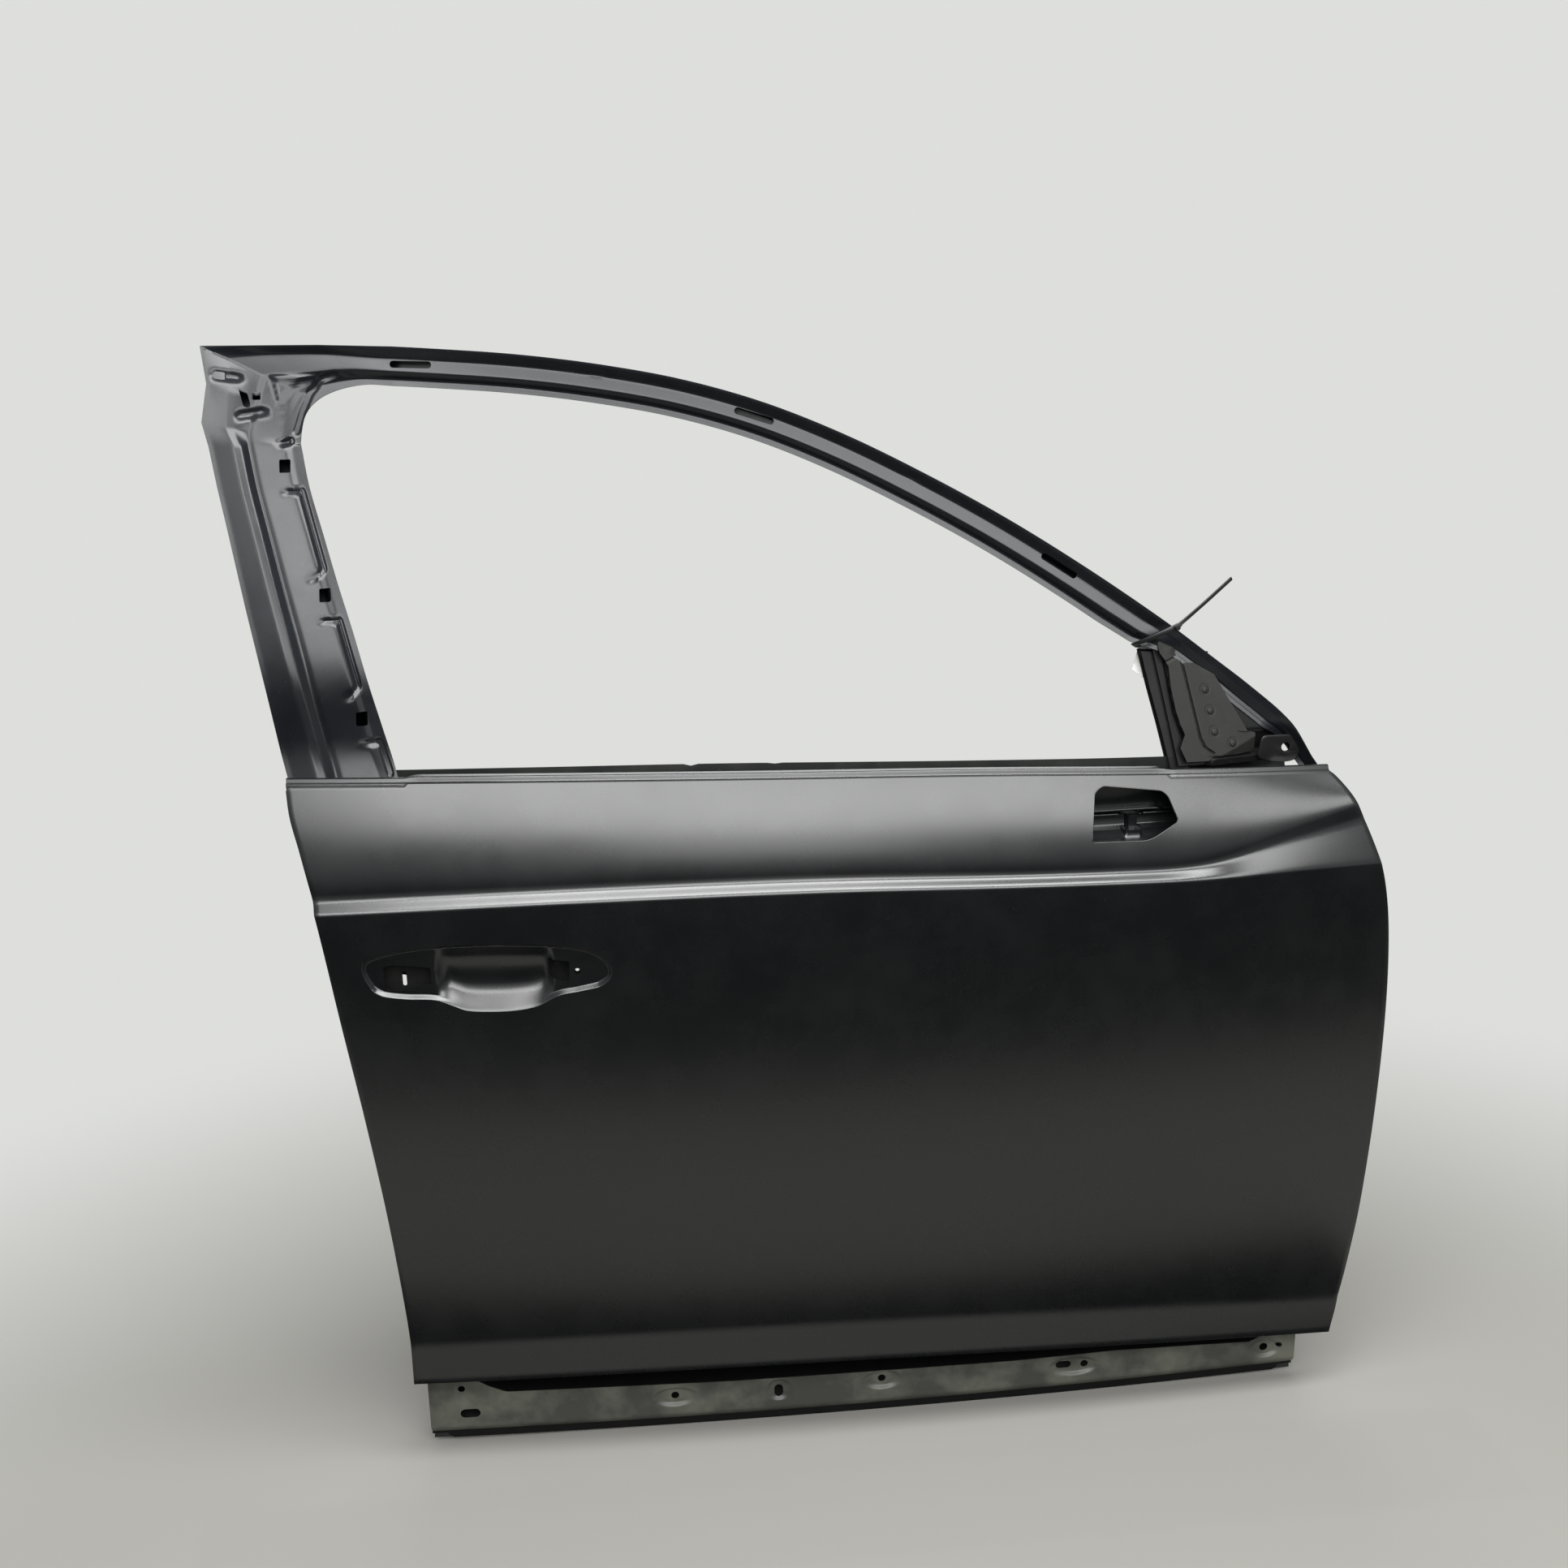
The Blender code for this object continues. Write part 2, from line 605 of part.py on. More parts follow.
def add_hem(sheet, numbers, shares):
    """Fold the skin's rear, bottom and front edges back round the inner flange."""
    last = len(shares) - 1
    reach = EDGE_COLUMN * HEM_WIDTH / 15.0
    path = []
    for row in range(TOP - 1, 0, -1):
        path.append((numbers[row][0], 0.0, reach, row))
    corner_rear = (numbers[0][0], 0.0, reach, 0)
    bottom = [(numbers[0][i], shares[i], shares[i], 0) for i in range(1, last)]
    corner_front = (numbers[0][last], 1.0, 1 - reach, 0)
    path += [corner_rear] + bottom + [corner_front]
    for row in range(1, TOP):
        path.append((numbers[row][last], 1.0, 1 - reach, row))
    first_ring = []
    second_ring = []
    for number, share, inner_share, row in path:
        first_ring.append(sheet.point(shell_point(share, row, HEM_DEPTH)))
        place = shell_point(inner_share, row, HEM_DEPTH)
        if row == 0:
            above = shell_point(inner_share, 1, HEM_DEPTH)
            place = place + (above - place) * (HEM_WIDTH / TUCK_HEIGHT)
        second_ring.append(sheet.point(place))
    edge = [step[0] for step in path]
    for a, b in ((edge, first_ring), (first_ring, second_ring)):
        for i in range(len(path) - 1):
            sheet.faces.append((a[i], b[i], b[i + 1], a[i + 1]))


# Stamped window frame

def frame_y(x, z):
    """Depth of the frame's outer face, which leans inboard towards the roof."""
    up = z - FRAME_Z
    start = held_curve(SINK_START, x)
    sink = LEG_SINK * min(1.0, max(0.0, (start - z) / LEG_SINK_HEIGHT))
    return FRAME_BASE + FRAME_LEAN * up + FRAME_CURVE * up * up + plan(x) + sink


def header_edge(x):
    """Outer edge of the header and the square inward direction there."""
    z = smooth_curve(HEADER_TOP, x)
    slope = (smooth_curve(HEADER_TOP, x + 4) - smooth_curve(HEADER_TOP, x - 4)) / 8
    length = math.hypot(1, slope)
    return (x, z), (slope / length, -1 / length)


@lru_cache(maxsize=None)
def frame_stations():
    """Outer and inner edge points round the window, with the shares of pillar, front and tip shape."""
    stations = []
    for z in PILLAR_STATIONS:
        outer = (straight_curve(PILLAR_REAR, z), z)
        stations.append((outer, (smooth_curve(PILLAR_WINDOW, z), z), 1.0, 0.0, 0.0))
    for i, (outer, inner) in enumerate(zip(CORNER_OUTER, CORNER_INNER)):
        stations.append((outer, inner, 1.0 - (i + 1) / (len(CORNER_OUTER) + 1), 0.0, 0.0))
    for x in HEADER_X:
        edge, inward = header_edge(x)
        width = straight_curve(HEADER_WIDTH, x)
        inner = (edge[0] + inward[0] * width, edge[1] + inward[1] * width)
        front = held_curve([(FRONT_BLEND[0], 0), (FRONT_BLEND[1], 1)], x)
        tip = held_curve([(TIP_BLEND[0], 0), (TIP_BLEND[1], 1)], x)
        stations.append((edge, inner, 0.0, front, tip))
    for outer, inner in zip(FRONT_LEG_OUTER, FRONT_LEG_INNER):
        stations.append((outer, inner, 0.0, 1.0, 1.0))
    return stations


def outer_section(station):
    """Shares of width and depths of the outer stamping at one station."""
    _, _, pillar, front, _ = station
    section = []
    for header, post, tip in zip(HEADER_SECTION, PILLAR_SECTION, FRONT_SECTION):
        share = mix(header[0], post[0], pillar)
        depth = mix(mix(header[1], tip[1], front), post[1], pillar)
        section.append((share, depth))
    return section


def header_inner_z(x):
    """Height of the header's window edge above one place along the car."""
    edge = [station[1] for station in frame_stations()[len(PILLAR_STATIONS) + len(CORNER_OUTER):]]
    return straight_curve(edge, x)


def frame_place(station, share, depth):
    outer, inner = station[:2]
    x = mix(outer[0], inner[0], share)
    z = mix(outer[1], inner[1], share)
    low = frame_y(*outer)
    high = frame_y(*inner)
    return (x, mix(low, high, share) + depth, z)


def window_frame_outer():
    """Outer stamping of the pillar and header, with clip slots and square holes."""
    sheet = Sheet()
    rows = []
    for station in frame_stations():
        rows.append([frame_place(station, share, depth) for share, depth in outer_section(station)])
    sheet.grid(rows)
    frame = sheet.build("window_frame_outer", "frame_coat")
    shapes = []
    half_x, half_z = (side / 2 for side in PILLAR_SQUARE)
    for x, z in PILLAR_SQUARES:
        y = frame_y(x, z)
        outline = rounded_outline((x - half_x, z - half_z), (x + half_x, z + half_z), 1, 1)
        shapes.append(along_y(outline, y + FRAME_CUT[0], y + FRAME_CUT[1]))
    for x, z, tilt in HEADER_SLOTS:
        y = frame_y(x, z)
        turn = math.radians(tilt)
        u_axis = Vector((math.cos(turn), 0, math.sin(turn)))
        v_axis = Vector((-math.sin(turn), 0, math.cos(turn)))
        half = (HEADER_SLOT[0] / 2, HEADER_SLOT[1] / 2)
        outline = rounded_outline((-half[0], -half[1]), half, half[1] - 0.1, 3)
        shapes.append((outline, Vector((x, y + FRAME_CUT[0], z)), u_axis, v_axis, Y_AXIS,
                       FRAME_CUT[1] - FRAME_CUT[0]))
    cut(frame, cutter("frame_cuts", shapes))
    return frame


def window_frame_inner():
    """Inner stamping that closes the frame to a box, flange to flange with the outer one."""
    sheet = Sheet()
    rows = []
    for station in frame_stations():
        row = []
        _, _, pillar, front, tip = station
        section = outer_section(station)
        for header, post in zip(INNER_HEADER_SECTION, INNER_PILLAR_SECTION):
            share = mix(header[0], post[0], pillar)
            depth = mix(header[1], post[1], pillar) * mix(1.0, TIP_BOX_SHARE, tip)
            if header[1] == 0:
                depth = straight_curve(section, share) + SHEET + 2 * FIT_GAP + TIP_SLACK * tip
                if share > 0.5:
                    depth += (SHEET + FIT_GAP) * front
            row.append(frame_place(station, share, depth))
        rows.append(row)
    sheet.grid(rows)
    return sheet.build("window_frame_inner", "frame_coat")


# Inner panel

def sill_y(x):
    return SILL_Y + 0.3 * plan(x)


def inner_belt_z(x):
    return smooth_curve(INNER_BELT_TOP, x)


def tray_top_rows(x):
    """Three top places of the inner panel: shelf, belt flange foot and belt flange top."""
    low = inner_belt_z(x) - BELT_FLANGE_DROP
    if SLOT_ZONE[0] < x < INNER_SLOT_END:
        y = INNER_BELT_Y + plan(x)
        return [(x, SHELF_Y, SHELF_Z), (x, y, low), (x, y, inner_belt_z(x))]
    high = inner_belt_z(x) + CORNER_TOP
    seat = REAR_SEAT
    if x > INNER_SLOT_END:
        seat = FRONT_SEAT
        high = min(high, smooth_curve(HEADER_TOP, x) - CORNER_CLEARANCE)
    if x > TIP_CORNER_X:
        high = TIP_CORNER_Z
    return [(x, SHELF_Y, SHELF_Z)] + [(x, frame_y(x, z) + seat, z) for z in (low, high)]


def inner_panel():
    """Deep drawn inner panel with hem flange, walls, floor, belt flange and service openings."""
    sheet = Sheet()
    spread = len(TRAY_COLUMNS) + 3
    lip_share = [0.0, 0.014] + [mix(0.016, 0.984, i / spread) for i in range(spread + 1)] + [0.986, 1.0]
    lip_low = []
    lip_high = []
    for share in lip_share:
        x = mix(SILL_ENDS[0] + 1, SILL_ENDS[1] - 1, share)
        y = sill_y(x) + LIP_Y + SHEET + FIT_GAP
        z = smooth_curve(SILL_LOWER, x)
        lip_low.append((x, y, z - LIP_DROP))
        lip_high.append((x, y, z + LIP_RISE + 4))
    rows = [lip_low, lip_high]
    rows += [tray_row(FLOOR_Z, None), tray_row(FLOOR_Z + TRAY_CHAMFER, None)]
    rows += [tray_row(None, 0, *runout) for runout in HEM_RUNOUT]
    for row in range(1, TOP):
        rows.append(tray_row(None, row))
    numbers = sheet.grid(rows)
    add_belt_rows(sheet, numbers[-1], rows[-1])
    panel = sheet.build("inner_panel", "inner_coat")
    low, high = TRAY_Y - 60, TRAY_Y + 20
    openings = [along_y(rounded_outline(shape[:2], shape[2:4], shape[4], 5), low, high)
                for shape in (SERVICE_OPENING, FRONT_ACCESS, REAR_ACCESS)]
    openings.append(along_y(circle_outline(*SPEAKER_OPENING, 28), low, high))
    cut(panel, cutter("service_cuts", openings))
    cut(panel, cutter("wall_cuts", front_wall_holes() + [latch_hole(30, 0)]))
    return panel


def tray_row(height, skin_row, above=0.0, rear_inset=0.0, front_inset=0.0):
    """One row of the inner panel: flange, wall, inboard face, wall and flange.

    The row lies at one height, at a row of the skin, or above the skin's lower corners, where the
    flange first stands behind the sill band and then runs out past the hem.
    """
    row = []
    for rear in (True, False):
        share = 0.0 if rear else 1.0
        side = 1 if rear else -1
        wall_line = REAR_WALL if rear else FRONT_WALL
        if skin_row is None:
            z = height
            edge = SILL_ENDS[0] + 1 if rear else SILL_ENDS[1] - 1
            flange_y = sill_y(edge) + SHEET + FIT_GAP
            wall = straight_curve(wall_line, z)
            outer = [(edge, flange_y, z), (wall, flange_y, z)]
        elif above:
            z = skin_column(share)[0].z + above
            wall = straight_curve(wall_line, z)
            edge = SILL_ENDS[0] + 1 if rear else SILL_ENDS[1] - 1
            flange_y = sill_y(edge) + SHEET + FIT_GAP
            if rear_inset:
                edge = skin_column(share)[0].x + (rear_inset if rear else -front_inset)
                flange_y = skin_y(edge, z) + FLANGE_DEPTH
            outer = [(edge, flange_y, z), (wall, flange_y, z)]
        else:
            z = skin_column(share)[skin_row].z
            wall = straight_curve(wall_line, z)
            step = EDGE_CLEARANCE / (SKIN_FRONT[0][1] - SKIN_REAR[0][1])
            edge_share = step if rear else 1 - step
            wall_share = share_at(wall, z)
            foot = shell_point(wall_share, skin_row, FLANGE_DEPTH)
            outer = [tuple(shell_point(edge_share, skin_row, FLANGE_DEPTH)), (wall, foot.y, foot.z)]
        if z > SHOULDER_Z:
            z = mix(SHOULDER_Z, z, SHOULDER_SHARE)
        deep = inboard_y(z)
        outer += [(wall, deep - TRAY_CHAMFER, z), (wall + side * TRAY_CHAMFER, deep, z)]
        row.append(outer)
    rear_points, front_points = row
    low = rear_points[-1][0]
    high = front_points[-1][0]
    middle = []
    for x in TRAY_COLUMNS:
        z = mix(rear_points[-1][2], front_points[-1][2], (x - low) / (high - low))
        x = min(max(x, low + 3), high - 3) if low + 3 < high - 3 else x
        middle.append((x, inboard_y(z), z))
    return rear_points + middle + list(reversed(front_points))


def inboard_y(z):
    """Depth of the inboard face, which slopes towards the shelf near the belt."""
    if z <= FLOOR_Z:
        return TRAY_Y - TRAY_CHAMFER
    if z <= SHOULDER_Z:
        return TRAY_Y
    return mix(TRAY_Y, SHELF_Y, (z - SHOULDER_Z) / (SHELF_Z - SHOULDER_Z))


def add_belt_rows(sheet, last_numbers, last_places):
    """Carry the inboard face up to the belt flange and to the seats of the frame's legs."""
    inner = range(3, len(last_places) - 3)
    levels = [[], [], []]
    for i in inner:
        for level, place in zip(levels, tray_top_rows(last_places[i][0])):
            level.append(sheet.point(place))
    below = [last_numbers[i] for i in inner]
    for level in levels:
        for i in range(len(level) - 1):
            sheet.faces.append((below[i], below[i + 1], level[i + 1], level[i]))
        below = level


def front_wall_holes():
    """Bolt holes for both hinges and the check strap's slot, through the front wall."""
    wall = straight_curve(FRONT_WALL, UPPER_HINGE_Z)
    shapes = []
    for z in (UPPER_HINGE_Z, LOWER_HINGE_Z):
        for side in (-1, 1):
            outline = circle_outline(HINGE_Y, z + side * HINGE_BOLT_SPACING / 2, HINGE_BOLT_RADIUS, 12)
            shapes.append((outline, Vector((wall - 15, 0, 0)), Y_AXIS, Z_AXIS, X_AXIS, 30))
    half = (CHECK_STRAP_HOLE[0] / 2, CHECK_STRAP_HOLE[1] / 2)
    outline = rounded_outline((HINGE_Y - half[0], CHECK_STRAP_Z - half[1]),
                              (HINGE_Y + half[0], CHECK_STRAP_Z + half[1]), 5, 2)
    shapes.append((outline, Vector((wall - 15, 0, 0)), Y_AXIS, Z_AXIS, X_AXIS, 30))
    return shapes


# Latch wall frame of reference

def latch_axes():
    """Point on the rear wall at the latch, with the wall's up and inward directions."""
    x = straight_curve(REAR_WALL, LATCH_Z)
    slope = straight_curve(REAR_WALL, LATCH_Z + 1) - x
    up = Vector((slope, 0, 1)).normalized()
    inward = Vector((up.z, 0, -up.x))
    return Vector((x, LATCH_Y, LATCH_Z)), up, inward


def latch_hole(depth, shift):
    place, up, inward = latch_axes()
    half = (LATCH_SLOT[0] / 2, LATCH_SLOT[1] / 2)
    outline = rounded_outline((-half[0], -half[1]), half, 6, 2)
    return (outline, place - inward * (depth / 2 - shift), Y_AXIS, up, inward, depth)


def latch_reinforcement():
    """Plate behind the rear wall that the latch bolts to."""
    place, up, inward = latch_axes()
    half = (LATCH_PLATE[0] / 2, LATCH_PLATE[1] / 2)
    outline = rounded_outline((-half[0], -half[1]), half, 10, 3)
    slot = (LATCH_SLOT[0] / 2, LATCH_SLOT[1] / 2)
    holes = [rounded_outline((-slot[0], -slot[1]), slot, 6, 2)]
    for u, v in ((-28, 45), (28, 45), (-28, -45)):
        holes.append(circle_outline(u, v, 3.5, 8))
    return plate("latch_reinforcement", "bracket_coat", outline, PLATE, place + inward * FIT_GAP,
                 Y_AXIS, up, inward, holes)


# Sill band

def sill_panel():
    """Band below the skin: flange in the hem, step, band with clip holes, and weld lip."""
    sheet = Sheet()
    shares = skin_shares()[5:-2]
    flange_low = []
    flange_high = []
    ledge = []
    band_top = []
    band_low = []
    lip_top = []
    lip_low = []
    count = len(shares) - 1
    for i, share in enumerate(shares):
        low = shell_point(share, 0, FLANGE_DEPTH + SHEET)
        high = shell_point(share, 1, FLANGE_DEPTH + SHEET)
        run = (high - low) / TUCK_HEIGHT
        flange_low.append(low + run * EDGE_CLEARANCE)
        flange_high.append(low + run * (HEM_WIDTH + 4))
        x = mix(SILL_ENDS[0], SILL_ENDS[1], i / count)
        y = sill_y(x)
        step_x = min(max(low.x, SILL_TOP_ENDS[0]), SILL_TOP_ENDS[1])
        z = low.z + HEM_WIDTH + 9
        ledge.append((step_x, y - 7, z))
        bottom = smooth_curve(SILL_LOWER, x)
        band_top.append((x, y, z - 7))
        band_low.append((x, y, bottom + LIP_RISE))
        lip_top.append((x, y + LIP_Y, bottom + LIP_RISE - 8))
        lip_low.append((x, y + LIP_Y, bottom - LIP_DROP))
    rows = [lip_low, lip_top, band_low, band_top, ledge, flange_high, flange_low]
    sheet.grid(rows)
    panel = sheet.build("sill_panel", "inner_coat")
    shapes = []
    for x, z, radius in SILL_ROUND_HOLES:
        y = sill_y(x)
        shapes.append(along_y(circle_outline(x, z, radius, 10), y - 6, y + 1.2 * SHEET))
    for x, z, wide, high in SILL_SLOTS:
        y = sill_y(x)
        outline = rounded_outline((x - wide / 2, z - high / 2), (x + wide / 2, z + high / 2),
                                  min(wide, high) / 2 - 0.2, 3)
        shapes.append(along_y(outline, y - 6, y + 1.2 * SHEET))
    cut(panel, cutter("sill_cuts", shapes))
    return panel


# Belt reinforcements

def belt_reinforcement_outer():
    """Hat section behind the skin's belt fold."""
    sheet = Sheet()
    rows = [[] for _ in HAT_SECTION]
    for share in skin_shares():
        top = skin_column(share)[TOP]
        if not slot_zone(top.x) or top.x > MIRROR_BRACKET_X[0] - 20:
            continue
        for row, (down, back) in zip(rows, HAT_SECTION):
            row.append(top + Vector((0, back, down)))
    sheet.grid(list(reversed(rows)))
    return sheet.build("belt_reinforcement_outer", "bracket_coat")


def belt_reinforcement_inner():
    """Straight hat section under the inner panel's sloping shoulder."""
    sheet = Sheet()
    up = Vector((0, SHELF_Y - TRAY_Y, SHELF_Z - SHOULDER_Z)).normalized()
    outboard = Vector((0, -up.z, up.y))
    start = Vector((0, TRAY_Y, SHOULDER_Z))
    rows = []
    for along, rise in INNER_HAT:
        place = start + up * (along + INNER_HAT_START) + outboard * (rise + FIT_GAP + SHEET)
        rows.append([place + X_AXIS * x for x in INNER_HAT_X])
    sheet.grid(rows)
    return sheet.build("belt_reinforcement_inner", "bracket_coat")


# Hinge side

def front_wall_plate(name, z, size, holes):
    """Reinforcement plate inside the flat front wall."""
    wall = straight_curve(FRONT_WALL, z) - FIT_GAP - PLATE
    half = (size[0] / 2, size[1] / 2)
    outline = rounded_outline((HINGE_Y - half[0], z - half[1]), (HINGE_Y + half[0], z + half[1]), 8, 3)
    return plate(name, "bracket_coat", outline, PLATE, Vector((wall, 0, 0)), Y_AXIS, Z_AXIS, X_AXIS, holes)


def hinge_parts():
    """Both hinge plates with their weld nuts."""
    for name, z in (("upper", UPPER_HINGE_Z), ("lower", LOWER_HINGE_Z)):
        holes = []
        for side in (-1, 1):
            holes.append(circle_outline(HINGE_Y, z + side * HINGE_BOLT_SPACING / 2, HINGE_BOLT_RADIUS, 12))
        front_wall_plate("hinge_reinforcement_" + name, z, HINGE_PLATE, holes)
        for label, side in (("low", -1), ("high", 1)):
            centre = z + side * HINGE_BOLT_SPACING / 2
            seat = straight_curve(FRONT_WALL, z) - 2 * FIT_GAP - PLATE - NUT_HEIGHT
            plate("hinge_nut_" + name + "_" + label, "nut_metal",
                  circle_outline(HINGE_Y, centre, NUT_RADIUS, 6), NUT_HEIGHT, Vector((seat, 0, 0)),
                  Y_AXIS, Z_AXIS, X_AXIS, [circle_outline(HINGE_Y, centre, HINGE_BOLT_RADIUS - 1, 12)])


def check_strap_reinforcement():
    """Plate round the check strap's slot, with its two bolt holes."""
    half = (CHECK_STRAP_HOLE[0] / 2, CHECK_STRAP_HOLE[1] / 2)
    holes = [rounded_outline((HINGE_Y - half[0], CHECK_STRAP_Z - half[1]),
                             (HINGE_Y + half[0], CHECK_STRAP_Z + half[1]), 5, 2)]
    for side in (-1, 1):
        holes.append(circle_outline(HINGE_Y, CHECK_STRAP_Z + side * 30, 3.5, 8))
    front_wall_plate("check_strap_reinforcement", CHECK_STRAP_Z, CHECK_STRAP_PLATE, holes)


# Impact beam

def impact_beam():
    """Round tube across the door, open at both ends."""
    start = Vector((BEAM_REAR[0], BEAM_Y, BEAM_REAR[1]))
    run = Vector((BEAM_FRONT[0], BEAM_Y, BEAM_FRONT[1])) - start
    bm = bmesh.new()
    ring = []
    steps = 20
    for radius in (BEAM_RADIUS, BEAM_RADIUS - BEAM_WALL):
        for end in (0.0, run.length):
            ring.append([bm.verts.new(Vector((radius * math.cos(math.tau * i / steps),
                                              radius * math.sin(math.tau * i / steps), end)) * MM)
                         for i in range(steps)])
    for i in range(steps):
        j = (i + 1) % steps
        bm.faces.new((ring[0][i], ring[0][j], ring[1][j], ring[1][i]))
        bm.faces.new((ring[3][i], ring[3][j], ring[2][j], ring[2][i]))
        bm.faces.new((ring[2][i], ring[2][j], ring[0][j], ring[0][i]))
        bm.faces.new((ring[1][i], ring[1][j], ring[3][j], ring[3][i]))
    mesh = bpy.data.meshes.new("impact_beam")
    bm.to_mesh(mesh)
    bm.free()
    beam = place_object("impact_beam", mesh, "bracket_coat", start, run.to_track_quat("Z", "Y").to_euler())
    mesh.shade_smooth()
    mesh.set_sharp_from_angle(angle=math.radians(40))
    return beam


def beam_brackets():
    """Brackets that carry the impact beam from the rear and front walls."""
    for name, place, side, wall_line in (("beam_bracket_rear", BEAM_REAR, -1, REAR_WALL),
                                         ("beam_bracket_front", BEAM_FRONT, 1, FRONT_WALL)):
        z = place[1]
        half = BEAM_BRACKET[1] / 2
        seat = BEAM_Y + BEAM_RADIUS + FIT_GAP
        reach, _, leg = BEAM_BRACKET
        sheet = Sheet()
        rows = []
        for height in (z - half, z + half):
            wall = straight_curve(wall_line, height) - side * (FIT_GAP + 0.3)
            row = [(wall - side * reach, seat, height), (wall, seat, height), (wall, seat + leg, height)]
            rows.append(row if side > 0 else list(reversed(row)))
        sheet.grid(rows)
        sheet.build(name, "bracket_coat", PLATE)


# Glass channels

def glass_y(x, z):
    """Depth of the glass run's middle; below the belt the glass follows its barrel curve."""
    down = max(0.0, FRAME_Z - z)
    if z >= FRAME_Z:
        return frame_y(x, z) + CHANNEL_LEG_DEPTH + CHANNEL_DEPTH / 2
    return FRAME_BASE + plan(x) + CHANNEL_LEG_DEPTH + CHANNEL_DEPTH / 2 - 0.3 * down + 0.0006 * down * down


def channel(name, route, open_side):
    """Channel of U section; open_side is -1 where it opens rearward and 1 forward."""
    sheet = Sheet()
    rows = []
    for z, x in reversed(route):
        y = glass_y(x, z)
        half = CHANNEL_DEPTH / 2
        tip = x if open_side < 0 else x + CHANNEL_WIDTH
        web = x + CHANNEL_WIDTH if open_side < 0 else x
        section = [(tip, y - half, z), (web, y - half, z), (web, y + half, z), (tip, y + half, z)]
        if z > FRAME_Z:
            section = [(px, py, min(pz, header_inner_z(px) - CHANNEL_TOP_GAP)) for px, py, pz in section]
        rows.append(section if open_side < 0 else list(reversed(section)))
    sheet.grid(rows)
    return sheet.build(name, "channel_coat")


def channel_bracket(name, route, side):
    """Strap from the channel's inboard leg to the inner panel."""
    z = CHANNEL_BRACKET_Z
    half = CHANNEL_BRACKET_HEIGHT / 2
    rows = []
    for height in (z - half, z + half):
        x = straight_curve(list(reversed(route)), height)
        y = glass_y(x, height) + CHANNEL_DEPTH / 2 + FIT_GAP
        far = TRAY_Y - FIT_GAP - SHEET
        base = x + CHANNEL_WIDTH / 2
        rows.append([(base - side * 8, y, height), (base + side * 12, y, height),
                     (base + side * 30, far, height), (base + side * 52, far, height)])
    if side < 0:
        rows = [list(reversed(row)) for row in rows]
    sheet = Sheet()
    sheet.grid(rows)
    return sheet.build(name, "bracket_coat")


# Front window corner

def corner_gusset():
    """Triangular plate that ties the front channel to the header above the belt."""
    sheet = Sheet()
    rows = []
    for z, low, high in reversed(GUSSET_ROWS):
        row = []
        for i in range(6):
            x = mix(low, high, i / 5)
            row.append((x, frame_y(x, z) + GUSSET_DEPTH, z))
        rows.append(row)
    sheet.grid(rows)
    return sheet.build("corner_gusset", "gusset_coat")


def gusset_rivets():
    """Four low round heads on the gusset."""
    for i, (x, z) in enumerate(RIVETS):
        y = frame_y(x, z) + GUSSET_DEPTH - FIT_GAP - RIVET_HEIGHT
        bm = bmesh.new()
        bmesh.ops.create_cone(bm, cap_ends=True, segments=14, radius1=RIVET_RADIUS * MM,
                              radius2=RIVET_RADIUS * 0.7 * MM, depth=RIVET_HEIGHT * MM)
        mesh = bpy.data.meshes.new("gusset_rivet")
        bm.to_mesh(mesh)
        bm.free()
        lean = math.atan(FRAME_LEAN)
        place_object("gusset_rivet_%d" % (i + 1), mesh, "gusset_coat",
                     (x, y + RIVET_HEIGHT / 2 - 0.1, z), (math.pi / 2 - lean, 0, 0))


def quarter_bracket():
    """Small bracket with a round hole at the front tip of the frame."""
    sheet = Sheet()
    x0, z0, x1, z1 = QUARTER_BRACKET
    rows = []
    for i in range(3):
        z = mix(z0, z1, i / 2)
        rows.append([(mix(x0, x1, j / 3), frame_y(mix(x0, x1, j / 3), z) + QUARTER_DEPTH, z)
                     for j in range(4)])
    sheet.grid(rows)
    bracket = sheet.build("quarter_bracket", "bracket_coat")
    x, z, radius = QUARTER_HOLE
    y = frame_y(x, z)
    cut(bracket, cutter("quarter_cut", [along_y(circle_outline(x, z, radius), y + FRAME_CUT[0], y + FRAME_CUT[1])]))
    return bracket


# Handle and mirror carriers

def handle_reinforcement():
    """Plate behind the handle recess, open round the bowl and both wells."""
    x0, z0, x1, z1, radius = HANDLE_PLATE
    middle = BOWL_CENTRE
    seat = skin_y(*middle) + WELL_DEPTH + BOWL_DEPTH + SHEET + HANDLE_PLATE_GAP
    rear = HANDLE_REAR_HOLE
    front = HANDLE_FRONT_HOLE
    holes = [rounded_outline((rear[0] - 6, rear[1] - 2), (rear[2] + 4, rear[3] + 3), 5, 2),
             rounded_outline((front[0] - 3, front[1] - 3), (front[2] + 3, front[3] + 3), 5, 2)]
    return plate("handle_reinforcement", "bracket_coat", rounded_outline((x0, z0), (x1, z1), radius, 4),
                 SHEET * 1.5, Vector((0, seat, 0)), X_AXIS, Z_AXIS, Y_AXIS, holes)


def mirror_bracket():
    """Pocket behind the mirror opening: a flange on the skin and a plate set back from it."""
    sheet = Sheet()
    low, high = MIRROR_BRACKET_X
    rows = []
    for z, back in MIRROR_BRACKET_SECTION:
        row = []
        for i in range(7):
            x = mix(low, high, i / 6)
            base = skin_y(x, min(z, MIRROR_BRACKET_SECTION[1][0]))
            row.append((x, base + SHEET + 2 * FIT_GAP + back, z))
        rows.append(row)
    sheet.grid(rows)
    return sheet.build("mirror_bracket", "bracket_coat")


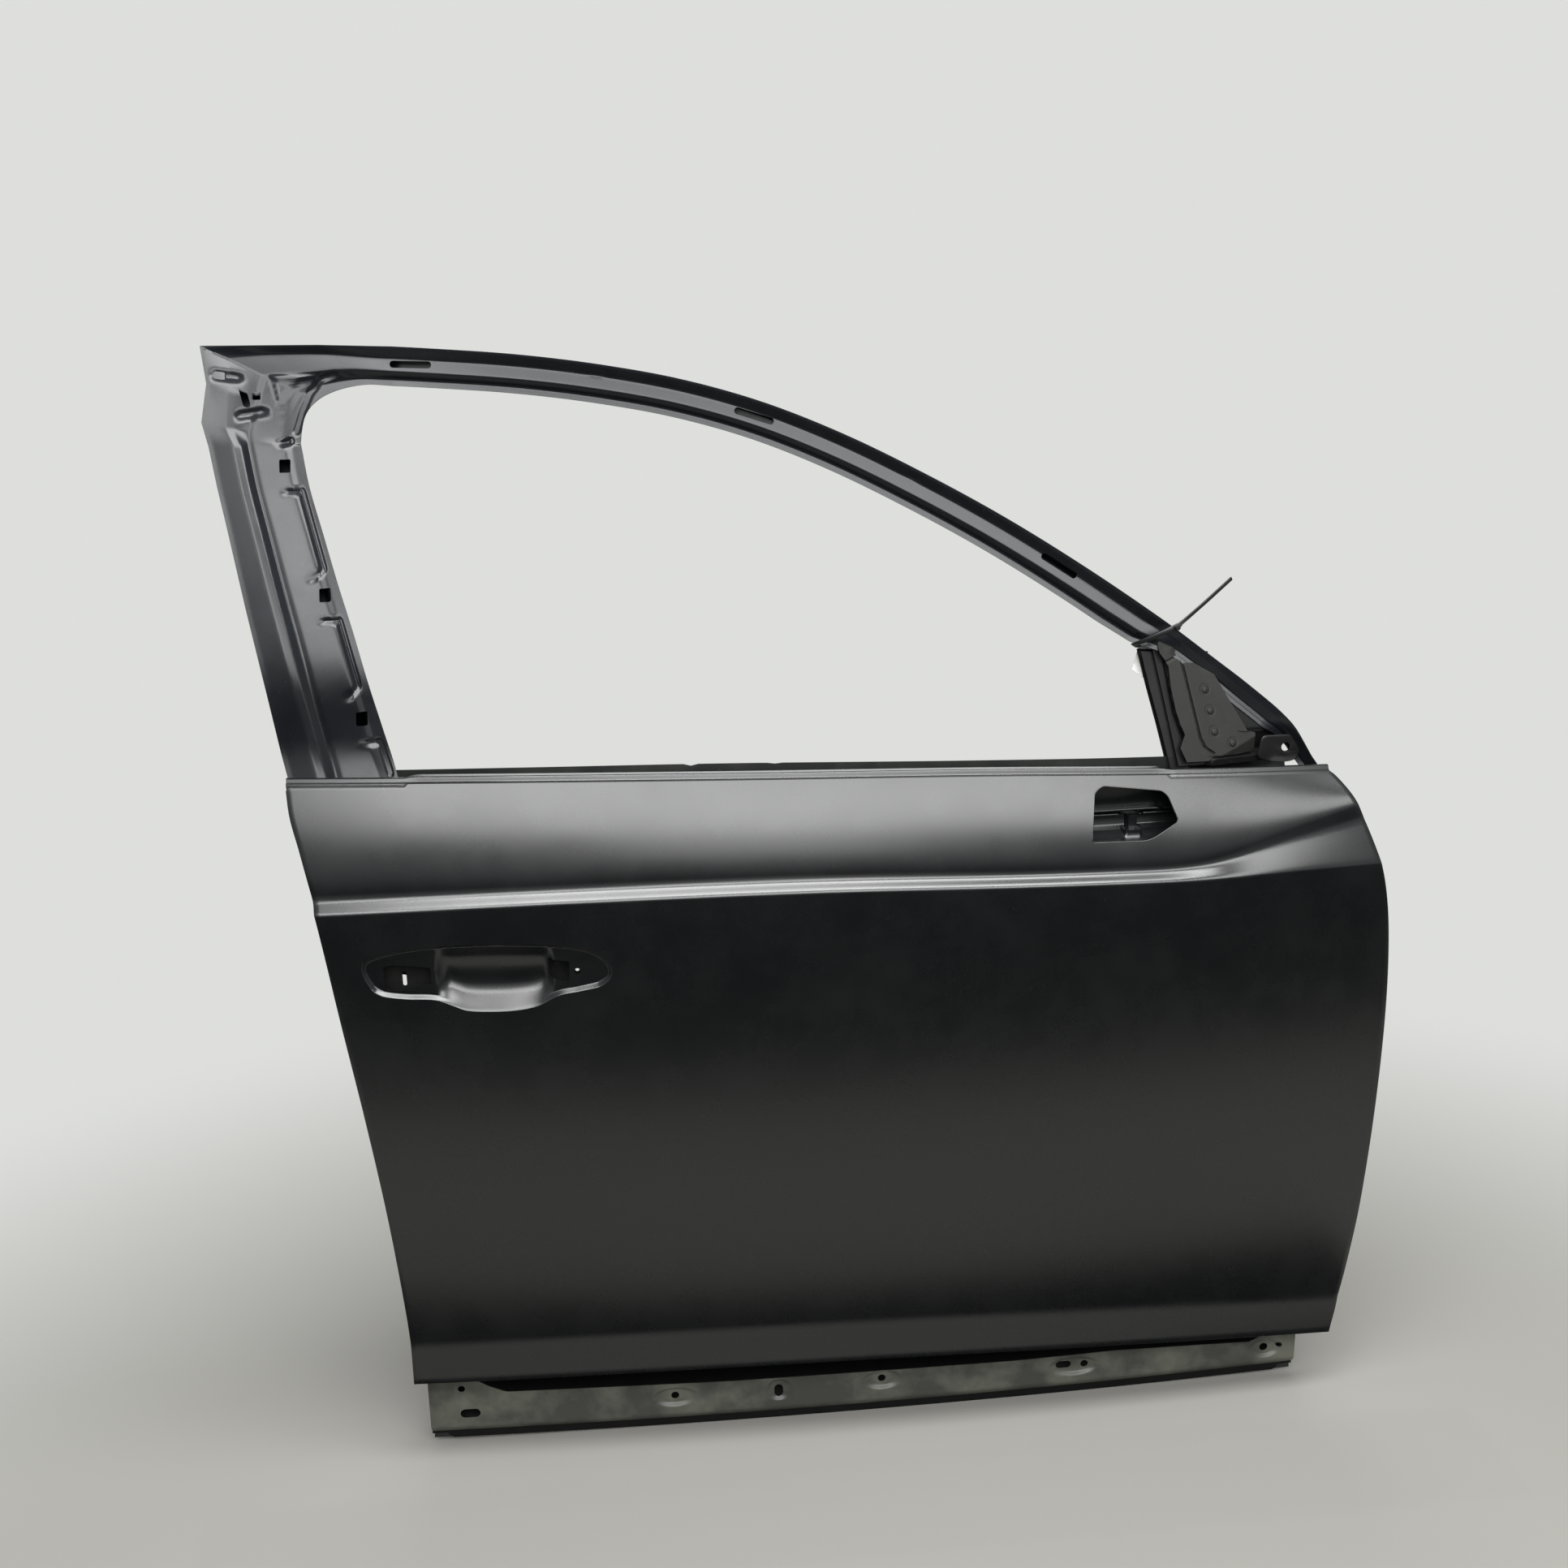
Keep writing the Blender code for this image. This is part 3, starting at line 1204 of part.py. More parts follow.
def main():
    for thing in list(bpy.data.objects):
        bpy.data.objects.remove(thing, do_unlink=True)
    for name in (COLLECTION, "cutters"):
        made = bpy.data.collections.new(name)
        bpy.context.scene.collection.children.link(made)
    datum = bpy.data.objects.new("door_datum", None)
    hinge_face = straight_curve(FRONT_WALL, UPPER_HINGE_Z) + SHEET
    datum.location = -Vector((hinge_face, HINGE_Y, UPPER_HINGE_Z)) * MM
    bpy.data.collections[COLLECTION].objects.link(datum)
    material("skin_coat", (0.012, 0.012, 0.013), 0.38, 0.0)
    material("frame_coat", (0.02, 0.021, 0.024), 0.42, 0.0)
    material("inner_coat", (0.02, 0.021, 0.02), 0.5, 0.0)
    material("bracket_coat", (0.016, 0.016, 0.015), 0.5, 0.0)
    material("gusset_coat", (0.045, 0.045, 0.04), 0.55, 0.0)
    material("channel_coat", (0.008, 0.008, 0.008), 0.45, 0.0)
    material("nut_metal", (0.45, 0.44, 0.4), 0.4, 1.0)
    outer_panel()
    inner_panel()
    sill_panel()
    window_frame_outer()
    window_frame_inner()
    belt_reinforcement_outer()
    belt_reinforcement_inner()
    hinge_parts()
    check_strap_reinforcement()
    latch_reinforcement()
    impact_beam()
    beam_brackets()
    channel("front_glass_channel", FRONT_CHANNEL, -1)
    channel("rear_glass_channel", REAR_CHANNEL, 1)
    channel_bracket("front_channel_bracket", FRONT_CHANNEL, 1)
    channel_bracket("rear_channel_bracket", REAR_CHANNEL, -1)
    corner_gusset()
    gusset_rivets()
    quarter_bracket()
    handle_reinforcement()
    mirror_bracket()


main()
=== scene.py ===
# Looks of a front right-hand car door shell: the stamped sheets in their primer, the light and
# the camera. Shapes are worked out in millimetres on the door's datum: X to the front of the car,
# Y into the car, Z up. row_place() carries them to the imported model's frame in metres.
import json
import math

import bmesh
import bpy
import numpy as np
from mathutils import Matrix, Vector

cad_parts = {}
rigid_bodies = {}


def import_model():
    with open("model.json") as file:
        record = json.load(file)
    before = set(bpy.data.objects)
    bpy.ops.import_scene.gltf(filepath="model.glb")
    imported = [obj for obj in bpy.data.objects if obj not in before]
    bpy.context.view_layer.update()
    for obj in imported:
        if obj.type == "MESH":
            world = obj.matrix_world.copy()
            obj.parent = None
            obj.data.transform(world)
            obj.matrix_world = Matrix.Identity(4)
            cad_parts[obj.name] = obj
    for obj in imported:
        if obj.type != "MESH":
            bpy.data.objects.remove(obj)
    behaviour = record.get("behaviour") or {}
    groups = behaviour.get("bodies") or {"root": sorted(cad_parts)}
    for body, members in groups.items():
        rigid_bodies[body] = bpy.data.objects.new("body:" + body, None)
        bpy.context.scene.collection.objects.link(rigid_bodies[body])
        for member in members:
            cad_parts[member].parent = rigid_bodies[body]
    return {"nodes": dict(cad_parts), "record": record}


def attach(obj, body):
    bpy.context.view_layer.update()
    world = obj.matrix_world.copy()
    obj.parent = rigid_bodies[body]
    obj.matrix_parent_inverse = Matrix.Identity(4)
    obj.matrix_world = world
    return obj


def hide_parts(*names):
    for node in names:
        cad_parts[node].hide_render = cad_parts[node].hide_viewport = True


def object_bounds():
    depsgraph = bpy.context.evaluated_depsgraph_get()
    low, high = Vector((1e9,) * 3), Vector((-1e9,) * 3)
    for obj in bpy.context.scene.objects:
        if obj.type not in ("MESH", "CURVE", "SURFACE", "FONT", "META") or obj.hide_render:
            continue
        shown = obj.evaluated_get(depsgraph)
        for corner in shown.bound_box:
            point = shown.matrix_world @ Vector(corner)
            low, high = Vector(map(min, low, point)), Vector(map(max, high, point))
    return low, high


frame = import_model()
CAD_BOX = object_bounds()

bl_info = {
    "name": "Car door shell",
    "version": (1, 0, 0),
    "blender": (4, 5, 0),
    "location": "View3D > Sidebar > Door shell",
    "description": "Dresses the packed door shell with its pressed detail, finishes and studio",
    "category": "Object",
}

MM = 0.001
DATUM = np.array((1037.0, 92.0, 520.0))
SHEET = 1.0
THIN_SHEET = 0.8
DUST_SIZE = 3.2
DUST_COLOUR = "8c8a84"
FIT_GAP = 0.35
BOX_CLEARANCE = 0.04
FLANGE_DEPTH = SHEET + FIT_GAP

# Bow of the whole side seen from above
PLAN_BOW = 22.0
PLAN_MIDDLE = 520.0
PLAN_HALF = 560.0

# Skin edges and character lines, height and place along the car
SKIN_REAR = [(95, 4), (182, 2), (307, -6), (424, -18), (534, -32), (613, -42), (660, -49),
             (708, -59), (740, -67), (765, -70)]
SKIN_FRONT = [(66, 1043), (104, 1053), (172, 1060), (237, 1064), (362, 1066), (481, 1064),
              (566, 1058), (622, 1049), (673, 1033), (712, 1016), (734, 1001), (745, 988)]
SKIN_BOTTOM = [(5, 96), (258, 97), (528, 93), (808, 81), (1042, 67)]
BELT_LINE = [(-70, 770), (157, 765.5), (365, 760.5), (612, 753.5), (852, 743), (993, 739)]
CREASE_LINE = [(-50, 648), (200, 653), (440, 653.5), (690, 646.5), (850, 643), (950, 645.5),
               (1050, 647)]
LEDGE_HEIGHT = [(-50, 9.5), (440, 8), (760, 7), (850, 10), (950, 30), (1050, 50)]
FACET_HEIGHT = [(-50, 6), (760, 5), (850, 5), (935, 10), (1040, 18)]
LEDGE_DEPTH = 10.0
LEDGE_SPREAD = 0.12
FACET_DEPTH = 1.0
BELT_DEPTH = 40.0
SHOULDER_POWER = 1.6
TUCK_DEPTH = 38.0
TUCK_POWER = 1.8
TUCK_HEIGHT = 42.0
TUCK_RETURN = 6.0
HEM_DEPTH = 3.7
HEM_WIDTH = 11.0
HEM_ROLL = ((0.75, 0.35), (1.05, 1.85), (0.75, 3.35), (0.0, HEM_DEPTH),
            (-HEM_WIDTH, HEM_DEPTH + 0.1))
SKIN_CUT = (-5, 60)
BEAD_RADIUS = 0.55
BEAD_SINK = 0.2
BEAD_SIDES = 8
SLOT_ZONE = (50, 815)
BELT_FOLD = [(0, 0), (4, 1), (5, 6), (13, 7), (14, -12)]
BELT_LIP = [(0, 0), (2.5, 1.2), (3.5, 4.5), (5, 5.2), (6.5, 5.4)]

# Handle recess: lower and upper lip, the ends between them and the deep bowl's profile from its
# lower lip
LIP_LINE = [(2, 568.4), (6, 564.4), (14, 560.2), (35, 556.9), (64, 554.8), (79, 549), (94, 542.5),
            (118, 540.3), (144, 540.8), (166, 545), (186, 555), (206, 558.6), (226, 562.6),
            (232, 565.5)]
BROW_LINE = [(-4.5, 595.5), (0, 599.6), (6, 602.2), (33, 608.3), (68, 611.6), (110, 612.7),
             (141, 611.9), (183, 609), (210, 604.5), (227, 597.9), (236.5, 589.5)]
REAR_LINE = [(2, 568.4), (-2.5, 577), (-5.6, 587), (-4.5, 595.5)]
FRONT_LINE = [(232, 565.5), (237.6, 570.5), (239.8, 579), (236.5, 589.5)]
FLOOR_DROP = 4.4
BOWL_SIDES = ((65, 81), (183, 170))
BOWL_PROFILE = [(0, 0), (0.03, 1.3), (0.22, 12), (0.28, 14.2), (0.36, 15.8), (0.5, 16.5),
                (0.66, 15.4), (0.8, 12.2), (0.92, 7.6), (1, 4.4)]
HANDLE_PLATE = ((-8, 540), (250, 618))
HANDLE_PLATE_AT = (120, 580, 27.4)
PLATE_CUT = (-20, 90)
HANDLE_REAR_HOLE = [(15, 567), (15, 590), (24, 592), (45, 590), (61, 588), (61, 570), (46, 569),
                    (44, 564), (21, 565)]
HANDLE_FRONT_HOLE = [(177, 573), (177, 592.5), (198, 589.5), (197, 568)]
HANDLE_PIN_HOLE = (205.5, 579, 3.0)
HANDLE_GLINTS = (((30.5, 563), (34.5, 578)), ((202.5, 568), (206.5, 572.5)))
MIRROR_HOLE = [(730, 684.4), (736, 732), (745, 738.3), (808, 730.5), (814, 725), (823.5, 700),
               (796.4, 685.3), (787, 683)]

# Stamped window frame
FRAME_BASE = 50.0
FRAME_LEAN = 0.36
FRAME_CURVE = 0.00008
FRAME_Z = 767.0
PILLAR_REAR = [(700, -38), (735, -40), (752, -47), (768, -68), (800, -76), (857, -89),
               (934, -107), (1011, -124), (1050, -133), (1089, -141), (1110, -147), (1150, -146),
               (1187, -148)]
PILLAR_WINDOW = [(700, 48), (735, 42), (776, 34), (813, 23), (859, 9), (906, -4), (953, -18),
                 (1000, -31), (1047, -44), (1085, -51)]
CORNER_OUTER = [(-147.5, 1112), (-142, 1150), (-148, 1187), (-95, 1186.5), (-30, 1185.8)]
HEADER_FULL = 39.0
TIP_BLEND = (912, 960)
INNER_HEADER_SECTION = [(0.05, 0), (0.26, 0), (0.30, 29), (0.72, 35), (0.85, 0), (1.0, 0)]
INNER_PILLAR_SECTION = [(0.04, 0), (0.17, 0), (0.24, 28), (0.80, 35), (0.89, 0), (1.0, 0)]
TIP_BOX_SHARE = 0.3
TIP_SLACK = 0.7
CORNER_INNER = [(-52, 1090), (-48, 1115), (-35, 1131), (-14, 1141), (14, 1146)]
HEADER_TOP = [(-70, 1187), (11, 1185), (92, 1180), (174, 1173), (255, 1162), (337, 1146),
              (419, 1122), (500, 1089), (582, 1048), (664, 1002), (746, 950), (828, 893),
              (875, 857), (917, 824), (953, 791), (981, 750)]
HEADER_WIDTH = [(45, 39), (782, 39), (815, 37), (848, 24), (880, 23), (912, 25), (944, 24),
                (968, 14), (985, 13)]
HEADER_ENDS = (45, 985)
LEG_END = ((972, 700), (958, 698))
FRONT_BLEND = (815, 848)
LEG_SINK = 14.0
LEG_SINK_HEIGHT = 33.0
SINK_START = [(860, 748), (940, 785)]
HEADER_SECTION = [(0.0, -6), (0.05, -5), (0.30, 7), (0.345, 7.5), (0.62, 8.5), (0.66, 9.5),
                  (0.82, 20), (0.86, 21), (1.0, 21.5)]
PILLAR_SECTION = [(0.0, 0), (0.05, 0), (0.29, -1.5), (0.36, 0.5), (0.43, 9), (0.50, 8.5),
                  (0.83, 10), (0.90, 14), (1.0, 16)]
FRONT_SECTION = [(0.0, -5), (0.05, -4.5), (0.30, 0.5), (0.345, 1.5), (0.60, 7.4), (0.66, 8.8),
                 (0.82, 9.2), (0.86, 9.4), (1.0, 9.6)]
PILLAR_SQUARES = [(-67, 1068), (-30, 943), (3, 825)]
PILLAR_SQUARE = (11, 13)
HEADER_SLOTS = [(62, 1165, -2), (410, 1108, -18), (719, 952, -33)]
HEADER_SLOT = (42, 7)
FRAME_CUT = (-6, 22)
FRAME_GROOVES = [([(-66, 1043), (-51, 1043), (-31, 967), (-42, 958)], 4.5, 1),
                 ([(-32, 918), (-17, 918), (0, 855), (-9, 845)], 4.5, 1),
                 ([(6, 802), (20, 802), (29, 772)], 4.5, 1),
                 ([(-16, 1157), (-30, 1152), (-42, 1138), (-50, 1120), (-56, 1101)], 5, 1),
                 ([(-133, 1158), (-112, 1155)], 7, 1.5),
                 ([(-110, 1118), (-88, 1121)], 7, 1.5),
                 ([(-70, 1089), (-62, 1092)], 5, 1.5)]
FRAME_EMBOSS = [(-81, 1159), (-22, 1157), (-50, 1150), (-70, 1128), (-67, 1098)]
HEADER_DENTS = [(571, 1044, 9, 5), (251, 1152, 7, 4)]
KEYHOLE = (-106, 1138)
CORNER_SQUARE = ((-98, 1133), (-90, 1141))
PILLAR_STEP = 2.4
CORNER_CUTS = 14
FLAT_CUTS = 7

# Sill band below the skin
SILL_Y = 78.0
SILL_LOWER = [(0, 6), (270, 1), (530, -1), (780, 0), (1018, 4)]
SILL_ENDS = (13.5, 1018)
SILL_EDGE = (20, 1036)
SILL_COLUMNS = 300
UPRIGHT_CUTS = (40, 12, 14)
LIP_DROP = 8.95
LIP_RISE = 8.0
LIP_Y = 6.0
SILL_TOP_ENDS = (34, 1008)
SILL_TROUGH = [(60, 76), (80, 63), (99, 54), (352, 46), (682, 42), (800, 44), (905, 41),
               (961, 39), (985, 50), (992, 70)]
SILL_TROUGH_DEPTH = 26.0
TROUGH_ROUND = 4.0
SILL_LIP_ENDS = (30, 1002)
SILL_ROUND_HOLES = [(50, 62, 4), (287, 31, 4.5), (524, 32, 4.5), (763, 28, 4.5), (981, 28, 5),
                    (999, 31, 3.5)]
SILL_SLOTS = [(58, 30, 22, 11), (738, 29, 18, 9), (405, 27, 10, 15)]
SILL_DIMPLES = [(287, 31, 27, 13), (405, 30, 16, 15), (524, 32, 25, 13), (750, 28, 33, 13),
                (981, 28, 22, 13)]

# Front window corner: outlines of the gusset against height, its crease and its slanted facet
GUSSET_DEPTH = 9.4
GUSSET_REAR = [(753, 842), (760, 839), (767, 836), (774, 839), (780, 842), (790, 838), (804, 834),
               (827, 830.5), (848, 829.5), (855, 826), (862, 821), (871, 819.6), (874, 821.5),
               (876.5, 827)]
GUSSET_FRONT = [(753, 866), (757, 871), (758.5, 912), (762, 918), (779, 918.5), (781, 909.5),
                (839, 877.5), (848, 862), (854, 851), (872, 838), (876.5, 832)]
GUSSET_FOLD = [(819, 855), (827, 852), (838, 857), (850, 853)]
GUSSET_CREASE = [(844.5, 851), (858.6, 775.7), (862.5, 767), (872.5, 760)]
FACET_EDGE = [(780, 899.5), (848.6, 860.3)]
FACET_END = [(780, 909.5), (839.4, 877.5)]
FLOOR_EDGE = [(779, 962), (781, 960), (804, 936), (833, 900), (861.8, 859)]
RIVETS = [(867, 824), (871, 803), (874, 782), (893, 770)]
RIVET_PROFILE = [(0.2, 0), (1.2, 0.05), (1.9, 0.35), (2.5, 0.3), (3.1, 0.5), (3.6, 1.1), (3.7, 1.9)]
RIVET_SIDES = 24
BACKING_REAR = [(748, 835), (872, 815), (876, 815)]
BACKING_FRONT = [(748, 978), (762, 972), (779, 960), (781, 914), (838, 880), (852, 850),
                 (876, 834)]
BACKING_DEPTH = 17.0
WEB_HOLE = (959.6, 758.5, 7.5)
TAB_OUTLINE = [(921, 751), (940, 746.5), (956, 745.5), (967, 748), (971, 758), (960, 775.5),
               (924, 776)]
TAB_DEPTH = 2.8
TAB_RINGS = ((1, 1.5), (0.985, 0.7), (0.95, 0.15), (0.88, 0), (0.6, 0), (0.35, 0), (0.12, 0))
TAB_HOLE = (953, 762, 4.8)

# Mirror pocket: height and depth behind the skin of its plain section, with where each lip stands
POCKET_ENDS = (724, 838)
POCKET_SECTION = [(668, 0.9), (679, 0.9), (681, 18), (687, 31), (691, 36), (701, 37), (702.3, 31),
                  (704, 31), (704.8, 37), (706.4, 37.5), (707, 29), (709.2, 29), (709.8, 37),
                  (733, 31)]
POCKET_POST = (775, 789, 690, 703)
POCKET_LIP_GAP = (768, 795)

# Cable tie round the header and the blank label on it
TIE_LOOP = [(836, 891, -9), (824, 885.5, -7), (810, 878.5, 0), (799, 872.5, 10), (797, 868.5, 22),
            (806, 865.5, 36), (822, 870, 44), (838, 878, 42), (846, 881, 28), (843, 886, 8),
            (838, 891, -5)]
TIE_TAIL = [(836, 891, -11), (851.5, 902.3, -12.5), (867, 913.6, -13.5), (882.5, 924.9, -13.5),
            (898, 936, -13)]
TIE_THICK = 1.6
TIE_SECTION = ((-1, -0.5), (-0.8, -1), (0.8, -1), (1, -0.5), (1, 0.5), (0.8, 1), (-0.8, 1),
               (-1, 0.5))
TIE_HEAD = (5.4, 6.2, 4.4)
LABEL_CORNER = (799.5, 841, 40.0)
LABEL_SIZE = (34, 46)
LABEL_WAYS = ((0.80, -0.60), (0.39, 0.92))

# Inner panel
TRAY_Y = 150.0
DRAW_RADIUS = 9.0
REAR_WALL = [(-10, 19), (95, 20), (180, 20.5), (580, -20.8), (650, -28.5), (700, -39.5),
             (765, -53.5)]
FRONT_WALL = [(-10, 1000), (66, 1002), (90, 1009), (109, 1024), (150, 1036), (600, 1036),
              (650, 1022), (700, 1002), (745, 972)]
SHOULDER_Z = 640.0
SHOULDER_SHARE = 0.8
SHELF_Z = 736.0
SHELF_Y = 114.0
INNER_BELT_Y = 72.0
INNER_BELT_TOP = [(44, 774), (156, 773), (368, 770), (619, 762), (775, 757), (1000, 752)]
BELT_FLANGE_DROP = 24.0
BELT_NOTCHES = (330, 410)
CORNER_TOP = 20.0
CORNER_CLEARANCE = 14.0
INNER_SLOT = (22, 838)
TIP_CORNER_X = 925
TIP_CORNER_Z = 744
REAR_SEAT = 37.1
FRONT_SEAT = 38.0
EDGE_CLEARANCE = 1.7
FLOOR_Z = 26.0
SERVICE_OPENING = (190, 260, 700, 590, 60)
FRONT_ACCESS = (735, 420, 885, 600, 30)
SPEAKER_OPENING = (840, 225, 78)
REAR_ACCESS = (60, 300, 130, 470, 25)
INNER_RIBS = ([(80, 130), (660, 130)], [(80, 190), (640, 190)], [(710, 330), (712, 590)])
SMALL_HOLE = (14, 521, 11)
HINGE_HEIGHTS = (520.0, 215.0)
HINGE_Y = 92.0
HINGE_BOLT_SPACING = 44.0
HINGE_BOLT_RADIUS = 5.5
STRAP_Z = 368.0
STRAP_HOLE = (22, 34)
LATCH_Z = 430.0
LATCH_Y = 100.0
LATCH_SLOT = (30, 62)


# Curves and profiles

def smooth_curve(points, t):
    """Values at t of a smooth line through (t, value) points, straight beyond its ends."""
    places = np.array(points, float)
    last = len(places) - 1
    before = places[np.maximum(np.arange(last + 1) - 1, 0)]
    after = places[np.minimum(np.arange(last + 1) + 1, last)]
    slopes = (after[:, 1] - before[:, 1]) / (after[:, 0] - before[:, 0])
    t = np.asarray(t, float)
    i = np.clip(np.searchsorted(places[:, 0], t) - 1, 0, last - 1)
    width = places[i + 1, 0] - places[i, 0]
    s = np.clip((t - places[i, 0]) / width, 0, 1)
    start = places[i, 1] * (1 + 2 * s) * (1 - s) ** 2 + slopes[i] * width * s * (1 - s) ** 2
    end = places[i + 1, 1] * s * s * (3 - 2 * s) - slopes[i + 1] * width * s * s * (1 - s)
    beyond = slopes[0] * np.minimum(t - places[0, 0], 0)
    beyond = beyond + slopes[last] * np.maximum(t - places[last, 0], 0)
    return start + end + beyond


def held_curve(points, t):
    places = np.array(points, float)
    return np.interp(t, places[:, 0], places[:, 1])


def mix(a, b, share):
    return a + (b - a) * share


def ease(value):
    """0 to 1 with level ends."""
    value = np.clip(value, 0, 1)
    return value * value * (3 - 2 * value)


def between(x, low, high, soft):
    """1 between two ends, easing to 0 over a width inside each."""
    return ease((x - low) / soft) * ease((high - x) / soft)


def plan(x):
    """Bow of the side seen from above."""
    return PLAN_BOW * ((x - PLAN_MIDDLE) / PLAN_HALF) ** 2


def skin_lines(x):
    """Heights of the bottom, tuck, crease, ledge, facet and belt lines."""
    bottom = smooth_curve(SKIN_BOTTOM, x)
    crease = smooth_curve(CREASE_LINE, x)
    ledge = crease + smooth_curve(LEDGE_HEIGHT, x)
    facet = ledge + smooth_curve(FACET_HEIGHT, x)
    return bottom, bottom + TUCK_HEIGHT, crease, ledge, facet, smooth_curve(BELT_LINE, x)


def skin_y(x, z):
    """Depth of the skin's outer face, with sharp character lines."""
    bottom, tuck, crease, ledge, facet, belt = skin_lines(x)
    step_depth = LEDGE_DEPTH + LEDGE_SPREAD * np.maximum(0.0, ledge - crease - 9.0)
    facet_y = step_depth + FACET_DEPTH
    up = np.clip((z - facet) / (belt - facet), 0, None)
    shoulder = facet_y + (BELT_DEPTH - facet_y) * up ** SHOULDER_POWER
    flat = step_depth + FACET_DEPTH * (z - ledge) / (facet - ledge)
    step = step_depth * (z - crease) / (ledge - crease)
    body = TUCK_DEPTH * np.clip((crease - z) / (crease - tuck), 0, None) ** TUCK_POWER
    low = TUCK_DEPTH - TUCK_RETURN * (tuck - z) / TUCK_HEIGHT
    rise = np.select([z >= facet, z >= ledge, z >= crease, z >= tuck],
                     [shoulder, flat, step, body], low)
    return rise + plan(x)


def skin_face(x, z, radius):
    """The skin's outer face with its lines rounded as a press leaves them."""
    total = 0.0
    for share in (-1, -0.5, 0, 0.5, 1):
        total = total + skin_y(x, z + share * radius)
    return total / 5


def frame_y(x, z):
    """Depth of the window frame's outer face."""
    up = z - FRAME_Z
    sink = LEG_SINK * np.clip((held_curve(SINK_START, x) - z) / LEG_SINK_HEIGHT, 0, 1)
    return FRAME_BASE + FRAME_LEAN * up + FRAME_CURVE * up * up + plan(x) + sink


def sill_y(x):
    return SILL_Y + 0.3 * plan(x)


def reach(x, z, path, closed=False):
    """Distance in the side view from each point to a drawn line."""
    nearest = np.full(np.shape(x), 1e9)
    ends = path[1:] + path[:1] if closed else path[1:]
    for (ax, az), (bx, bz) in zip(path, ends):
        run = (bx - ax) ** 2 + (bz - az) ** 2
        t = np.clip(((x - ax) * (bx - ax) + (z - az) * (bz - az)) / run, 0, 1)
        nearest = np.minimum(nearest, np.hypot(x - ax - t * (bx - ax), z - az - t * (bz - az)))
    return nearest


def inside(x, z, outline):
    """1 within a closed outline, 0 outside."""
    count = np.zeros(np.shape(x), int)
    for (ax, az), (bx, bz) in zip(outline, outline[1:] + outline[:1]):
        crosses = (az > z) != (bz > z)
        span = bz - az if bz != az else 1e-9
        count += crosses & (x < ax + (z - az) * (bx - ax) / span)
    return (count % 2).astype(float)


def depth_within(x, z, outline):
    """Distance inside a closed outline, negative outside it."""
    distance = reach(x, z, outline, True)
    return np.where(inside(x, z, outline) > 0, distance, -distance)


def groove(x, z, path, width, depth):
    """A pressed groove along a line."""
    return depth * ease(1 - reach(x, z, path) / width)


def rounded(points, radius, steps=3):
    """A line with each corner drawn round; every line of equal corners gets equal points."""
    points = [np.array(p, float) for p in points]
    made = [points[0]]
    for before, corner, after in zip(points, points[1:], points[2:]):
        back = before - corner
        on = after - corner
        cut = min(radius, 0.45 * np.linalg.norm(back), 0.45 * np.linalg.norm(on))
        a = corner + back / max(np.linalg.norm(back), 1e-9) * cut
        b = corner + on / max(np.linalg.norm(on), 1e-9) * cut
        for i in range(steps + 1):
            t = i / steps
            made.append(a * (1 - t) ** 2 + corner * 2 * t * (1 - t) + b * t * t)
    made.append(points[-1])
    return made


def subdivided(points, count):
    """Each run of a line cut into equal lengths."""
    made = []
    for a, b in zip(points, points[1:]):
        made += [mix(a, b, i / count) for i in range(count)]
    return made + [points[-1]]


def circle(u, v, radius, steps=28):
    turns = [math.tau * i / steps for i in range(steps)]
    return [(u + radius * math.cos(turn), v + radius * math.sin(turn)) for turn in turns]


def round_box(low, high, radius, steps=5):
    """Rectangle with round corners, anticlockwise."""
    left, right, bottom, top = (low[0] + radius, high[0] - radius, low[1] + radius,
                                high[1] - radius)
    places = []
    for u, v, start in ((right, top, 0), (left, top, 90), (left, bottom, 180),
                        (right, bottom, 270)):
        for i in range(steps + 1):
            angle = math.radians(start + 90 * i / steps)
            places.append((u + radius * math.cos(angle), v + radius * math.sin(angle)))
    return places


def round_outline(points, radius, steps=4):
    """A closed outline with its corners drawn round."""
    line = rounded([points[-1]] + list(points) + [points[0]], radius, steps)
    return [tuple(p) for p in line[1:-1]]


# Mesh helpers

def row_place(points):
    return (np.asarray(points, float) - DATUM) * MM


def mesh_object(name, vertices, faces):
    """A mesh from places in millimetres on the datum."""
    mesh = bpy.data.meshes.new(name)
    mesh.from_pydata([tuple(p) for p in row_place(vertices)], [], faces)
    mesh.update()
    thing = bpy.data.objects.new(name, mesh)
    bpy.context.scene.collection.objects.link(thing)
    return thing


def grid_faces(rows, columns, start=0, wrap=False):
    """Faces of a grid, rows running up and columns forward; wrap joins last column to first."""
    faces = []
    for r in range(rows - 1):
        for c in range(columns if wrap else columns - 1):
            d = (c + 1) % columns
            low, high = start + r * columns, start + (r + 1) * columns
            faces.append((low + c, low + d, high + d, high + c))
    return faces


def stacked(x, y, z):
    return np.stack((x, y, z), axis=-1)


def side_grid(heights, rear, front, share, ends=(0.0, 0.0)):
    """X and Z of a sheet between a rear and a front line; ends move those lines along X."""
    x = mix(held_curve(rear, heights)[:, None] + ends[0],
            held_curve(front, heights)[:, None] + ends[1], share)
    return x, np.broadcast_to(heights[:, None], x.shape)


def sheet_piece(name, grid, thickness=SHEET):
    """A pressed sheet from a grid of places, its thickness drawn inwards."""
    grid = np.asarray(grid, float)
    thing = mesh_object(name, grid.reshape(-1, 3), grid_faces(grid.shape[0], grid.shape[1]))
    thicken(thing, thickness)
    return thing


def thicken(thing, thickness):
    shell = thing.modifiers.new("sheet", "SOLIDIFY")
    shell.thickness = thickness * MM
    shell.offset = -1.0


